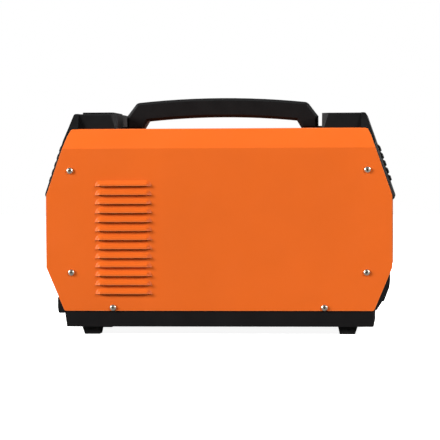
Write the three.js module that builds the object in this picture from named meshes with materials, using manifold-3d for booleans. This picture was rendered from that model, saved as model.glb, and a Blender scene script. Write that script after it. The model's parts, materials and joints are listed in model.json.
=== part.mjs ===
// TIG welding machine, 160 A class inverter in a folded sheet-metal case.
// Millimetres, +Z up. X runs along the case (+X is the front, with the controls
// and sockets), Y across it. The origin is on the floor under the middle.
import * as THREE from "three";
import { mergeVertices } from "three/addons/utils/BufferGeometryUtils.js";
import Module from "manifold-3d";

const wasm = await Module();
wasm.setup();

// ---- driving dimensions --------------------------------------------------

const GAP = 0.3; // air between neighbouring pieces

const COVER = {
  halfWidth: 80,
  topHalfWidth: 66, // the flat top, between the two sloping bands
  sheet: 1.2,
  bottom: 29,
  lowerCorner: 81.5, // height where the end edge turns upright
  upperCorner: 168.3, // height where it leans back again
  bend: 226, // height of the bend between side and sloping band
  top: 250,
  halfLengthBottom: 187.7,
  halfLengthMiddle: 210,
  halfLengthBend: 190,
  halfLengthTop: 181.7,
};
const LOUVRE = {
  count: 13,
  firstLip: 180.6,
  pitch: 10.92,
  height: 6.8,
  flat: 2.6, // height of the upright face above the lip
  proud: 4.4,
  from: -149.9,
  to: -80.6,
  taper: 3.6, // how much narrower each end is at the top of a hood
  wall: 1.1,
};
const SCREW = {
  headRadius: 4,
  headHeight: 2.4,
  shankRadius: 2,
  length: 9,
  holeRadius: 2.4,
  // x and z of the screws on one side of the cover
  places: [
    [180.5, 199.1],
    [179.2, 75.4],
    [128.3, 32.7],
  ],
};
const TRAY = {
  bottom: 9.7,
  top: 45,
  frontBottom: 187.3, // how far the floor reaches to the front and to the rear
  rearBottom: 185.2,
  halfLength: 187.9,
  halfWidth: 78.4,
  sheet: 1.5,
};
const FOOT = {
  height: 9.7,
  halfLength: 11.8,
  halfWidth: 12,
  outerSlope: 3.2, // how far each face leans in from top to bottom
  innerSlope: 1.9,
  sideSlope: 1.9,
  x: 156,
  y: 58,
};
const FRAME = {
  proud: 2.8, // how far the moulding stands beyond the cover's end edge
  edgeRun: 6, // the run of the bevel from the side to that height
  wall: 3.6,
  halfWidth: 79.7,
  plugHalfWidth: 75.2, // half the space between the walls inside the cover
  inner: 168, // where the walls inside the cover begin
  rim: 172.6, // inner face of the rim around the hood
  face: 206.4, // the upright face around the recess
  hoodTop: 268.7,
  hoodInner: 124.8,
};
const HOOD = {
  halfWidth: 58,
  topHalfWidth: 55.2,
  cornerFoot: 2, // size of the cut corners at the foot and at the top
  cornerTop: 8,
  wall: 2.5,
  plate: { from: 131, to: 169.5, halfWidth: 46, height: 2.2 },
};
const RECESS = { halfWidth: 62, bottom: 60, top: 161, wall: 2.5 };
const RIB = { count: 5, top: 229.4, pitch: 9.2, proud: 2.1, height: 8.2, halfLength: 64 };
const PANEL = { inner: 188, thickness: 2, halfWidth: 64, bottom: 57.7, top: 163.3 };
const PANEL_FACE = PANEL.inner + PANEL.thickness;

const HANDLE = {
  top: 288.3,
  shoulder: 282.7,
  shoulderX: 105.5,
  shoulderRadius: 7,
  outerX: 118.2,
  outerBend: 266,
  innerFootX: 98.4,
  innerBendX: 92.4,
  innerBend: 260.3,
  innerTop: 265,
  halfWidth: 16,
  bevel: 3,
  flangeFrom: 101, // a thin flange under each foot reaches to the hood beside it
  flangeTo: 124.4,
  flangeHeight: 3,
  flangeHalfWidth: 14,
};
const STUD = { radius: 3, hole: 3.5, x: 108, y: 7, top: 262 };

// places on the front panel: y and z of each axis
const FRONT = {
  display: { y: -30, z: 146, halfWidth: 22, halfHeight: 11 },
  currentKnob: { y: 34, z: 141, radius: 16, length: 15 },
  slopeKnob: { y: -46, z: 115, radius: 9, length: 13 },
  postGasKnob: { y: -20, z: 115, radius: 9, length: 13 },
  processRocker: { y: 14, z: 110 },
  triggerRocker: { y: 38, z: 110 },
  negativeSocket: { y: -40, z: 80 },
  positiveSocket: { y: 40, z: 80 },
  torchSocket: { y: 0, z: 90.5 },
  gasOutlet: { y: 0, z: 69 },
};
const SMALL_ROCKER = { half: 7.5, depth: 3.4, halfWidth: 4.8, tilt: 11, back: 11 };
const POWER_ROCKER = { half: 12, depth: 5, halfWidth: 9, tilt: 12, back: 17 };
const SWITCH_WALL = 1.2;
// places on the rear panel
const REAR = {
  fan: { y: 15, z: 110.5 },
  powerRocker: { y: -46.5, z: 138 },
  cableGland: { y: -46.5, z: 104 },
  gasInlet: { y: -46.5, z: 75 },
};
const FAN = { half: 46, depth: 25, bore: 44, tip: 42, hub: 18, blades: 7 };
const SOCKET = { flange: 17, neck: 13, bore: 8.5, insert: 8.2, mouth: 6.5, stub: 4, stubEnd: 158 };
const NIPPLE_END = 176; // where the gas fittings end inside the case

const BOARD = { bottom: 22, thickness: 1.6 };
const BOARD_TOP = BOARD.bottom + BOARD.thickness;
const CONTROL_BOARD = { inner: 170, thickness: 1.6, halfWidth: 58, low: 101, high: 160 };
const SHAFT = { radius: 3, hole: 3.4, front: 200 };

// ---- materials -----------------------------------------------------------

const finish = (color, roughness, metalness = 0) =>
  new THREE.MeshStandardMaterial({ color, roughness, metalness });

const ORANGE_PAINT = finish("#e5652a", 0.5);
const BLACK_PAINT = finish("#232223", 0.55);
const BLACK_PLASTIC = finish("#262628", 0.6);
const GREY_PLASTIC = finish("#55575a", 0.6);
const RUBBER = finish("#181818", 0.85);
const ZINC = finish("#c9c9c6", 0.35, 0.9);
const BRASS = finish("#b8923f", 0.35, 0.9);
const COPPER = finish("#b4643c", 0.4, 0.9);
const ALUMINIUM = finish("#b9bcbe", 0.45, 0.8);
const GREEN_BOARD = finish("#1f5a35", 0.5);
const FERRITE = finish("#33322f", 0.7);
const LENS = finish("#301012", 0.15);
const RED_PLASTIC = finish("#a81c18", 0.4);
const HOSE = finish("#1d2733", 0.6);
const CAN = finish("#20242e", 0.45);

// ---- shape helpers -------------------------------------------------------

function solid(geometry) {
  const bare = geometry.clone();
  bare.deleteAttribute("normal");
  bare.deleteAttribute("uv");
  const merged = mergeVertices(bare, 1e-4);
  return new wasm.Manifold(
    new wasm.Mesh({
      numProp: 3,
      vertProperties: new Float32Array(merged.attributes.position.array),
      triVerts: new Uint32Array(merged.index.array),
    }),
  );
}

const joined = (pieces) => pieces.reduce((sum, piece) => sum.add(piece));
const cut = (body, tools) => tools.reduce((rest, tool) => rest.subtract(tool), body);

function box(x0, x1, y0, y1, z0, z1) {
  const geometry = new THREE.BoxGeometry(x1 - x0, y1 - y0, z1 - z0);
  geometry.translate((x0 + x1) / 2, (y0 + y1) / 2, (z0 + z1) / 2);
  return solid(geometry);
}

const outline = (points) => new THREE.Shape(points.map(([a, b]) => new THREE.Vector2(a, b)));

// an outline in x and z, extruded from y0 to y1, with an optional bevelled edge
function prismY(points, y0, y1, bevel = 0) {
  const geometry = new THREE.ExtrudeGeometry(outline(points), {
    depth: y1 - y0 - 2 * bevel,
    bevelEnabled: bevel > 0,
    bevelSegments: 1,
    bevelSize: bevel,
    bevelOffset: -bevel,
    bevelThickness: bevel,
  });
  geometry.rotateX(Math.PI / 2);
  geometry.translate(0, y1 - bevel, 0);
  return solid(geometry);
}

// an outline in y and z, extruded from x0 to x1
function prismX(points, x0, x1) {
  const depth = x1 - x0;
  const geometry = new THREE.ExtrudeGeometry(outline(points), { depth, bevelEnabled: false });
  const turn = new THREE.Matrix4().makeBasis(
    new THREE.Vector3(0, 1, 0),
    new THREE.Vector3(0, 0, 1),
    new THREE.Vector3(1, 0, 0),
  );
  geometry.applyMatrix4(turn);
  geometry.translate(x0, 0, 0);
  return solid(geometry);
}

// an outline in x and y, extruded from z0 to z1
function prismZ(points, z0, z1) {
  const depth = z1 - z0;
  const geometry = new THREE.ExtrudeGeometry(outline(points), { depth, bevelEnabled: false });
  geometry.translate(0, 0, z0);
  return solid(geometry);
}

// a turned shape about a line along X through (y, z): profile is [radius, x] pairs
function turnedX(profile, y, z, segments = 16) {
  const points = profile.map(([radius, x]) => new THREE.Vector2(radius, x));
  const geometry = new THREE.LatheGeometry(points, segments);
  geometry.rotateZ(-Math.PI / 2);
  geometry.translate(0, y, z);
  return solid(geometry);
}

// a turned shape about an upright line through (x, y): profile is [radius, z] pairs
function turnedZ(profile, x, y, segments = 16) {
  const points = profile.map(([radius, z]) => new THREE.Vector2(radius, z));
  const geometry = new THREE.LatheGeometry(points, segments);
  geometry.rotateX(Math.PI / 2);
  geometry.translate(x, y, 0);
  return solid(geometry);
}

// the profile of a plain rod between two stations, for turnedX and turnedZ
const rod = (radius, from, to) => [
  [0, from],
  [radius, from],
  [radius, to],
  [0, to],
];
const pipe = (outer, inner, from, to) => [
  [inner, from],
  [outer, from],
  [outer, to],
  [inner, to],
  [inner, from],
];
const rodX = (radius, x0, x1, y, z, segments) => turnedX(rod(radius, x0, x1), y, z, segments);
const rodZ = (radius, z0, z1, x, y, segments) => turnedZ(rod(radius, z0, z1), x, y, segments);

// a rod along Y, for the holes in the sides
function rodY(radius, y0, y1, x, z, segments = 8) {
  const geometry = new THREE.CylinderGeometry(radius, radius, y1 - y0, segments);
  geometry.translate(x, (y0 + y1) / 2, z);
  return solid(geometry);
}

// the outline moved outward by a distance (inward when it is negative)
function offset(points, distance) {
  const area = points.reduce((sum, [a, b], i) => {
    const [c, d] = points[(i + 1) % points.length];
    return sum + a * d - b * c;
  }, 0);
  const turn = Math.sign(area);
  const normal = ([a, b], [c, d]) => {
    const length = Math.hypot(c - a, d - b);
    return [(turn * (d - b)) / length, (turn * (a - c)) / length];
  };
  return points.map((point, i) => {
    const before = normal(points.at(i - 1), point);
    const after = normal(point, points[(i + 1) % points.length]);
    const scale = distance / (1 + before[0] * after[0] + before[1] * after[1]);
    return [point[0] + scale * (before[0] + after[0]), point[1] + scale * (before[1] + after[1])];
  });
}

// each corner replaced by an arc; corners are [a, b, radius], radius may be left out
function rounded(corners, steps = 3) {
  return corners.flatMap(([a, b, radius = 0], i) => {
    if (radius === 0) return [[a, b]];
    const corner = new THREE.Vector2(a, b);
    const [c, d] = corners.at(i - 1);
    const [e, f] = corners[(i + 1) % corners.length];
    const back = new THREE.Vector2(c, d).sub(corner).normalize();
    const ahead = new THREE.Vector2(e, f).sub(corner).normalize();
    const half = Math.acos(back.dot(ahead)) / 2;
    const reach = radius / Math.tan(half);
    const centre = back
      .clone()
      .add(ahead)
      .normalize()
      .multiplyScalar(radius / Math.sin(half))
      .add(corner);
    const from = back.multiplyScalar(reach).add(corner).sub(centre);
    const to = ahead.multiplyScalar(reach).add(corner).sub(centre);
    const sweep = Math.atan2(from.cross(to), from.dot(to));
    return Array.from({ length: steps + 1 }, (_, k) => {
      const at = from.clone().rotateAround(new THREE.Vector2(), (sweep * k) / steps);
      return [centre.x + at.x, centre.y + at.y];
    });
  });
}

const rectangle = (a0, a1, b0, b1, radius = 0) => [
  [a0, b0, radius],
  [a1, b0, radius],
  [a1, b1, radius],
  [a0, b1, radius],
];
const mirrored = (points) => [...points, ...points.map(([a, ...rest]) => [-a, ...rest]).reverse()];

// a hose along a smooth curve through hand-chosen points
function hose(points, radius, steps) {
  const path = new THREE.CatmullRomCurve3(points.map((point) => new THREE.Vector3(...point)));
  const sides = 8;
  const ring = Array.from({ length: sides }, (_, k) => {
    const angle = (2 * Math.PI * k) / sides;
    return [radius * Math.cos(angle), radius * Math.sin(angle)];
  });
  return solid(new THREE.ExtrudeGeometry(outline(ring), { steps, extrudePath: path }));
}

// ---- the case ------------------------------------------------------------

// the cover from the side: half of it, from the bottom edge up to the top
const coverEnd = [
  [COVER.halfLengthBottom, COVER.bottom, 3],
  [COVER.halfLengthMiddle, COVER.lowerCorner, 3],
  [COVER.halfLengthMiddle, COVER.upperCorner, 3],
  [COVER.halfLengthBend, COVER.bend],
  [COVER.halfLengthTop, COVER.top, 7],
];
const coverOutline = rounded(mirrored(coverEnd));

// the cover from the end: the bent sheet's outer line, closed below the floor line
const coverSection = rounded(
  mirrored([
    [COVER.halfWidth, 0],
    [COVER.halfWidth, COVER.bend, 3],
    [COVER.topHalfWidth, COVER.top, 3],
  ]),
);

// the sheet of the cover as a bent strip, thickened by a margin on both faces
function coverSheet(margin) {
  const reach = 230;
  const outer = prismX(offset(coverSection, margin), -reach, reach);
  const inner = prismX(offset(coverSection, -COVER.sheet - margin), -reach - 1, reach + 1);
  const side = prismY(offset(coverOutline, margin), -100, 100);
  return outer.subtract(inner).subtract(box(-reach, reach, -70, 70, -10, 200)).intersect(side);
}

// one louvre on the side given by sign: a hood open at its lower lip
function louvreHood(lip, side) {
  const across = (reach) => side * (COVER.halfWidth + reach);
  const top = lip + LOUVRE.height;
  const wedge = (proud, sink, low, high) =>
    prismX(
      [
        [across(-sink), low],
        [across(proud), low],
        [across(proud), low + LOUVRE.flat],
        [across(0), high],
        [across(-sink), high],
      ],
      LOUVRE.from,
      LOUVRE.to,
    );
  const trapezoid = (inset, low, high) =>
    prismY(
      [
        [LOUVRE.from + inset, low],
        [LOUVRE.to - inset, low],
        [LOUVRE.to - inset - LOUVRE.taper, high],
        [LOUVRE.from + inset + LOUVRE.taper, high],
      ],
      -90,
      90,
    );
  const outside = wedge(LOUVRE.proud, 0.5, lip, top).intersect(trapezoid(0, lip, top));
  const hollow = wedge(LOUVRE.proud - LOUVRE.wall, 2, lip - 1, top - 2.2).intersect(
    trapezoid(LOUVRE.wall, lip - 1, top - 2.2),
  );
  return { outside, hollow };
}

const screwPlaces = [-1, 1].flatMap((side) =>
  [-1, 1].flatMap((end) => SCREW.places.map(([x, z]) => ({ side, x: end * x, z }))),
);
const screwHoles = screwPlaces.map(({ side, x, z }) =>
  rodY(SCREW.holeRadius, side > 0 ? 60 : -90, side > 0 ? 90 : -60, x, z),
);
const studPlaces = [-1, 1].flatMap((end) => [-1, 1].map((side) => [end * STUD.x, side * STUD.y]));

function coverBody() {
  const lips = Array.from({ length: LOUVRE.count }, (_, i) => LOUVRE.firstLip - i * LOUVRE.pitch);
  const hoods = [-1, 1].flatMap((side) => lips.map((lip) => louvreHood(lip, side)));
  const skin = coverSheet(0).add(joined(hoods.map((hood) => hood.outside)));
  const studHoles = studPlaces.map(([x, y]) => rodZ(STUD.hole, 240, 255, x, y, 8));
  return cut(skin, [...hoods.map((hood) => hood.hollow), ...screwHoles, ...studHoles]);
}

function trayBody() {
  const line = (inset) => [
    [-TRAY.rearBottom + inset, TRAY.bottom + inset],
    [TRAY.frontBottom - inset, TRAY.bottom + inset],
    [TRAY.halfLength - inset, COVER.bottom],
    [TRAY.halfLength - inset, TRAY.top + inset],
    [-TRAY.halfLength + inset, TRAY.top + inset],
    [-TRAY.halfLength + inset, COVER.bottom],
  ];
  const outer = prismY(line(0), -TRAY.halfWidth, TRAY.halfWidth);
  const room = TRAY.halfWidth - TRAY.sheet;
  const inner = prismY(line(TRAY.sheet), -room, room);
  const posts = [-130, -10, 120].flatMap((x) =>
    [-60, 60].map((y) => rodZ(4, TRAY.bottom + 0.5, BOARD.bottom - GAP, x, y, 6)),
  );
  const slots = Array.from({ length: 9 }, (_, i) => {
    const x = -32 + 8 * i;
    return box(x - 1.5, x + 1.5, -40, 40, 5, 12);
  });
  return cut(outer.subtract(inner), [...screwHoles, ...slots]).add(joined(posts));
}

// a rubber block that narrows downward, with a sunk screw from below
function footBody(end, side) {
  const top = FOOT.height - GAP;
  const x = end * FOOT.x;
  const y = side * FOOT.y;
  const lengthways = prismY(
    rounded([
      [x + end * FOOT.halfLength, top],
      [x + end * (FOOT.halfLength - FOOT.outerSlope), 0, 0.8],
      [x - end * (FOOT.halfLength - FOOT.innerSlope), 0, 0.8],
      [x - end * FOOT.halfLength, top],
    ]),
    y - FOOT.halfWidth,
    y + FOOT.halfWidth,
  );
  const across = prismX(
    [
      [y + FOOT.halfWidth, top],
      [y + FOOT.halfWidth - FOOT.sideSlope, 0],
      [y - FOOT.halfWidth + FOOT.sideSlope, 0],
      [y - FOOT.halfWidth, top],
    ],
    x - FOOT.halfLength - 1,
    x + FOOT.halfLength + 1,
  );
  return lengthways.intersect(across).subtract(rodZ(4, -1, 4, x, y));
}

function screwBody(side, x, z) {
  const seat = COVER.halfWidth + GAP;
  const head = [
    [0, -SCREW.length],
    [SCREW.shankRadius, -SCREW.length],
    [SCREW.shankRadius, 0],
    [SCREW.headRadius, 0],
    [SCREW.headRadius, 1.2],
    [SCREW.headRadius - 1.6, SCREW.headHeight],
    [0, SCREW.headHeight],
  ];
  const points = head.map(([radius, along]) => new THREE.Vector2(radius, along));
  const geometry = new THREE.LatheGeometry(points, 8);
  if (side < 0) geometry.rotateZ(Math.PI);
  geometry.translate(x, side * seat, z);
  return solid(geometry);
}

// ---- end mouldings: both are drawn at +X, and the rear one is turned round ---

const slopeRun =
  (COVER.halfLengthMiddle - COVER.halfLengthBend) / (COVER.bend - COVER.upperCorner);
const slopeLength = Math.hypot(1, slopeRun);
const slopeX = (z) =>
  COVER.halfLengthBend + (COVER.bend - z) * slopeRun + FRAME.proud * slopeLength;

// the space under the sloping face, whose sides are bevelled down to the cover's edge
function slopeEnvelope() {
  const middle = FRAME.halfWidth - FRAME.edgeRun;
  const section = mirrored([
    [FRAME.halfWidth + 1, -200],
    [FRAME.halfWidth + 1, 0.2 - FRAME.proud],
    [FRAME.halfWidth, 0.2 - FRAME.proud],
    [middle, 0],
    [middle - 1, 5],
  ]);
  const geometry = new THREE.ExtrudeGeometry(outline(section), { depth: 400, bevelEnabled: false });
  const turn = new THREE.Matrix4().makeBasis(
    new THREE.Vector3(0, 1, 0),
    new THREE.Vector3(1 / slopeLength, 0, slopeRun / slopeLength),
    new THREE.Vector3(slopeRun / slopeLength, 0, -1 / slopeLength),
  );
  turn.setPosition(slopeX(300), 0, 300);
  return solid(geometry.applyMatrix4(turn));
}

// a point on the sloping face: distance down the slope from a height, and outward
const onSlope = (height, along, out) => [
  slopeX(height) + (along * slopeRun + out) / slopeLength,
  height + (out * slopeRun - along) / slopeLength,
];

// the skirt below the upright face: its outer line, where the face begins, and how
// far out the space inside the moulding reaches at its foot; the nose is where the
// sloping face ends, above the upright one
const FRONT_SKIRT = {
  line: [
    [188.2, 29],
    [191.5, 30.6],
    [197.7, 40.3],
    [200, 41.2],
  ],
  faceBottom: 57.8,
  nose: 165.5,
  roomFoot: 197.6,
};
const REAR_SKIRT = {
  line: [
    [188.2, 26.3],
    [195.2, 26.3, 2],
    [196.1, 33],
    [196.1, 45],
    [194.6, 46.5],
  ],
  faceBottom: 76,
  nose: 170,
  roomFoot: 190.6,
};

function frameOutline(skirt) {
  return rounded([
    [FRAME.inner, TRAY.top + 1.5],
    [skirt.line[0][0], TRAY.top + 1.5],
    ...skirt.line,
    [FRAME.face, skirt.faceBottom, 3],
    [FRAME.face, skirt.nose - 6, 1],
    [slopeX(skirt.nose), skirt.nose, 4],
    [slopeX(FRAME.hoodTop), FRAME.hoodTop, 3],
    [FRAME.rim, FRAME.hoodTop],
    [FRAME.rim, COVER.top - 3],
    [FRAME.inner, COVER.top - 3],
  ]);
}

// the section that the moulding keeps to, seen from its end
const frameSection = rounded(
  mirrored([
    [FRAME.halfWidth, 20],
    [FRAME.halfWidth, COVER.bend + 0.1, 3],
    [COVER.topHalfWidth - 0.2, COVER.top, 2],
    [COVER.topHalfWidth - 9.5, FRAME.hoodTop + 1, 2],
  ]),
);

// the block over the cover's top, whose two inner corners are cut off wider at the
// top than at the foot; the rear one carries a raised plate
function hoodBlock(raisedPlate) {
  const foot = COVER.top + GAP;
  const top = FRAME.hoodTop - 0.3;
  const section = (inset) =>
    mirrored([
      [HOOD.halfWidth - inset, inset > 0 ? foot - 1 : foot],
      [HOOD.halfWidth - 1.3 - inset, top - 1.5 - inset / 2],
      [HOOD.topHalfWidth - inset, top - inset],
    ]);
  const plan = (inset, halfWidth, corner, z) => {
    const reach = 60 - halfWidth + corner;
    return mirrored([
      [60, FRAME.rim + 0.4 - inset],
      [60, FRAME.hoodInner + inset + reach],
      [60 - reach - inset, FRAME.hoodInner + inset],
    ]).map(([y, x]) => [x, y, z]);
  };
  const shape = (inset) =>
    prismX(section(inset), FRAME.hoodInner, FRAME.rim + 1).intersect(
      wasm.Manifold.hull([
        ...plan(inset, HOOD.halfWidth, HOOD.cornerFoot, foot - 2),
        ...plan(inset, HOOD.topHalfWidth, HOOD.cornerTop, top + 2),
      ]),
    );
  const block = shape(0).subtract(shape(HOOD.wall));
  if (!raisedPlate) return block;
  const { from, to, halfWidth, height } = HOOD.plate;
  const plate = rounded(rectangle(from, to, -halfWidth, halfWidth, 4));
  return block.add(prismZ(plate, top - 1, top + height));
}

function frameBody(skirt, raisedPlate) {
  const line = frameOutline(skirt);
  const shell = prismY(line, -FRAME.halfWidth, FRAME.halfWidth).intersect(slopeEnvelope());
  const roomTop = COVER.top - 4.2;
  const innerFace = FRAME.face - FRAME.wall;
  const roomLine = [
    [FRAME.inner - 10, TRAY.top],
    [skirt.roomFoot, TRAY.top],
    [innerFace, skirt.faceBottom + 1.5],
    [innerFace, COVER.upperCorner + 17],
    [slopeX(roomTop) - FRAME.wall, roomTop],
    [FRAME.inner - 10, roomTop],
  ];
  const room = prismY(roomLine, -FRAME.plugHalfWidth, FRAME.plugHalfWidth);
  const tube = box(
    PANEL_FACE + GAP,
    FRAME.face - 1,
    -RECESS.halfWidth - RECESS.wall,
    RECESS.halfWidth + RECESS.wall,
    RECESS.bottom - RECESS.wall,
    RECESS.top + RECESS.wall,
  ).intersect(prismY(line, -FRAME.halfWidth, FRAME.halfWidth));
  const mouth = prismX(
    rounded(rectangle(-RECESS.halfWidth, RECESS.halfWidth, RECESS.bottom, RECESS.top, 5)),
    PANEL_FACE - 1,
    230,
  );
  const tread = (i) => RIB.top - i * RIB.pitch;
  const indices = Array.from({ length: RIB.count }, (_, i) => i);
  const ribs = indices.map((i) =>
    prismY(
      [
        onSlope(tread(i), 0, -1),
        onSlope(tread(i), 0, 0.5),
        onSlope(tread(i), 0.8, RIB.proud - 0.5),
        onSlope(tread(i), 2.2, RIB.proud),
        onSlope(tread(i), RIB.height - 1.4, RIB.proud),
        onSlope(tread(i), RIB.height - 0.4, RIB.proud - 0.7),
        onSlope(tread(i), RIB.height, 0.3),
        onSlope(tread(i), RIB.height, -1),
      ],
      -RIB.halfLength,
      RIB.halfLength,
    ),
  );
  const vents = indices.slice(1).map((i) =>
    prismY(
      [
        onSlope(tread(i), -1.3, -8),
        onSlope(tread(i), -1.3, 2),
        onSlope(tread(i), -0.2, 2),
        onSlope(tread(i), -0.2, -8),
      ],
      -56,
      56,
    ),
  );
  const body = shell
    .intersect(prismX(frameSection, 100, 230))
    .subtract(room)
    .subtract(coverSheet(GAP))
    .add(hoodBlock(raisedPlate))
    .add(tube)
    .add(joined(ribs));
  return cut(body, [mouth, ...vents, ...screwHoles]);
}

const panelPlate = (holes) =>
  cut(
    prismX(
      rounded(rectangle(-PANEL.halfWidth, PANEL.halfWidth, PANEL.bottom, PANEL.top, 3)),
      PANEL.inner,
      PANEL_FACE,
    ),
    holes,
  );

// a square or oblong hole through a panel
function panelWindow({ y, z }, halfWidth, halfHeight) {
  const outline = rectangle(y - halfWidth, y + halfWidth, z - halfHeight, z + halfHeight);
  return prismX(rounded(outline), PANEL.inner - 2, PANEL_FACE + 2);
}
const panelBore = ({ y, z }, radius) => rodX(radius, PANEL.inner - 2, PANEL_FACE + 2, y, z);

// ---- handle --------------------------------------------------------------

function handleBody() {
  const arc = (halfSpan, low, high, steps) => {
    const rise = high - low;
    const radius = (halfSpan * halfSpan + rise * rise) / (2 * rise);
    return Array.from({ length: steps + 1 }, (_, k) => {
      const x = halfSpan * (1 - (2 * k) / steps);
      return [x, high - radius + Math.sqrt(radius * radius - x * x)];
    });
  };
  const foot = COVER.top + GAP;
  const over = arc(HANDLE.shoulderX, HANDLE.shoulder, HANDLE.top, 12);
  for (const shoulder of [over[0], over.at(-1)]) {
    shoulder.push(HANDLE.shoulderRadius);
  }
  const under = arc(HANDLE.innerBendX, HANDLE.innerBend, HANDLE.innerTop, 12).reverse();
  const line = rounded(
    [
      [HANDLE.outerX, foot],
      [HANDLE.outerX, HANDLE.outerBend],
      ...over,
      [-HANDLE.outerX, HANDLE.outerBend],
      [-HANDLE.outerX, foot],
      [-HANDLE.innerFootX, foot],
      ...under,
      [HANDLE.innerFootX, foot],
    ],
    4,
  );
  const bow = prismY(line, -HANDLE.halfWidth, HANDLE.halfWidth, HANDLE.bevel);
  const { flangeFrom, flangeTo, flangeHeight, flangeHalfWidth } = HANDLE;
  const flanges = [-1, 1].map((end) => {
    const [x0, x1] = [end * flangeFrom, end * flangeTo].sort((a, b) => a - b);
    return box(x0, x1, -flangeHalfWidth, flangeHalfWidth, foot, foot + flangeHeight);
  });
  const body = joined([bow, ...flanges]);
  return cut(body, studPlaces.map(([x, y]) => rodZ(STUD.hole, 240, STUD.top + 1, x, y, 8)));
}

function handleBracketBody() {
  const under = COVER.top - COVER.sheet - GAP;
  const strap = prismZ(rounded(rectangle(-122, 122, -14, 14, 4)), under - 2, under);
  const studs = studPlaces.map(([x, y]) => rodZ(STUD.radius, under - 4, STUD.top, x, y, 8));
  return strap.add(joined(studs));
}

// ---- controls ------------------------------------------------------------

function knobBody({ y, z, radius, length }) {
  const back = PANEL_FACE + GAP + 0.5;
  const grip = radius * 0.8;
  const body = turnedX(
    [
      [0, back],
      [radius, back],
      [radius, back + 2],
      [grip, back + 4],
      [grip * 0.94, back + length - 2],
      [grip * 0.82, back + length - 0.6],
      [0, back + length - 0.6],
    ],
    y,
    z,
  );
  const bore = rodX(SHAFT.hole, back - 1, SHAFT.front + GAP, y, z, 8);
  const pointer = box(back + length - 2, back + length, y - 0.7, y + 0.7, z + grip * 0.3, z + grip);
  return cut(body, [bore, pointer]);
}

// the bezel of a rocker switch stands on the panel; its pivot is just inside it
const rockerPivot = () => PANEL_FACE + GAP;

function rockerBody({ half, depth, halfWidth, tilt }, place) {
  const line = [
    [depth, half, 0.8],
    [depth * 0.45, 0, 6],
    [depth, -half, 0.8],
    [-half * 0.55, -half * 0.45],
    [-half * 0.55, half * 0.45],
  ];
  const lean = THREE.MathUtils.degToRad(tilt);
  const leaned = rounded(line).map(([x, z]) => [
    rockerPivot() + x * Math.cos(lean) - z * Math.sin(lean),
    place.z + x * Math.sin(lean) + z * Math.cos(lean),
  ]);
  return prismY(leaned, place.y - halfWidth, place.y + halfWidth);
}

function rockerHousingBody({ half, halfWidth, back }, { y, z }) {
  const front = PANEL_FACE + GAP + 1.6;
  const around = (extra, x0, x1) => {
    const acrossHalf = halfWidth + 0.5 + extra;
    const upHalf = half + 1 + extra;
    const line = rectangle(y - acrossHalf, y + acrossHalf, z - upHalf, z + upHalf, 0.6);
    return prismX(rounded(line), x0, x1);
  };
  const bezel = around(2.6, PANEL_FACE + GAP, front);
  const shellBack = PANEL_FACE - back;
  const shell = around(SWITCH_WALL, shellBack, PANEL_FACE + 1);
  const tabs = [-1, 1].map((side) => {
    const middle = z + side * half * 0.5;
    return box(shellBack - 6, shellBack + 1, y - 2.5, y + 2.5, middle - 0.5, middle + 0.5);
  });
  return bezel.add(shell).subtract(around(0, shellBack + 1.5, front + 1)).add(joined(tabs));
}

const rockerHole = ({ half, halfWidth }, place) =>
  panelWindow(place, halfWidth + 0.5 + SWITCH_WALL + GAP, half + 1 + SWITCH_WALL + GAP);

function displayWindowBody() {
  const { y, z, halfWidth, halfHeight } = FRONT.display;
  const face = prismX(
    rounded(rectangle(y - halfWidth, y + halfWidth, z - halfHeight, z + halfHeight, 3)),
    PANEL_FACE + GAP,
    PANEL_FACE + GAP + 1.5,
  );
  const neck = box(
    PANEL.inner + 0.2,
    PANEL_FACE + 1,
    y - halfWidth + 2.5,
    y + halfWidth - 2.5,
    z - halfHeight + 2.5,
    z + halfHeight - 2.5,
  );
  return face.add(neck);
}

// ---- sockets and fittings ------------------------------------------------

function socketBody({ y, z }) {
  const seat = PANEL_FACE + GAP;
  const body = turnedX(
    [
      [SOCKET.bore, PANEL.inner - 12],
      [SOCKET.neck, PANEL.inner - 12],
      [SOCKET.neck, seat],
      [SOCKET.flange, seat],
      [SOCKET.flange, seat + 4],
      [SOCKET.flange - 1, seat + 5],
      [SOCKET.neck + 1, seat + 6],
      [SOCKET.neck, seat + 13],
      [SOCKET.neck - 1, seat + 14],
      [SOCKET.bore, seat + 14],
      [SOCKET.bore, PANEL.inner - 12],
    ],
    y,
    z,
    20,
  );
  const lug = [-1, 1].map((side) => rodX(1.6, seat + 3, seat + 7, y + side * 11, z - side * 11, 6));
  return cut(body, lug);
}

function socketInsertBody({ y, z }) {
  const mouth = PANEL_FACE + GAP + 12;
  const floor = PANEL.inner - 14;
  const body = turnedX(
    [
      [0, SOCKET.stubEnd],
      [SOCKET.stub, SOCKET.stubEnd],
      [SOCKET.stub, floor - 3],
      [SOCKET.insert, floor - 3],
      [SOCKET.insert, mouth],
      [SOCKET.mouth + 0.6, mouth],
      [SOCKET.mouth, mouth - 0.6],
      [SOCKET.mouth, floor + 2],
      [0, floor + 2],
    ],
    y,
    z,
  );
  return body.subtract(box(mouth - 5, mouth + 1, y - 1.6, y + 1.6, z + 4, z + 7.6));
}

const hexagon = (y, z, acrossFlats) =>
  Array.from({ length: 6 }, (_, k) => {
    const angle = (Math.PI * k) / 3;
    const radius = acrossFlats / Math.sqrt(3);
    return [y + radius * Math.cos(angle), z + radius * Math.sin(angle)];
  });

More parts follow.
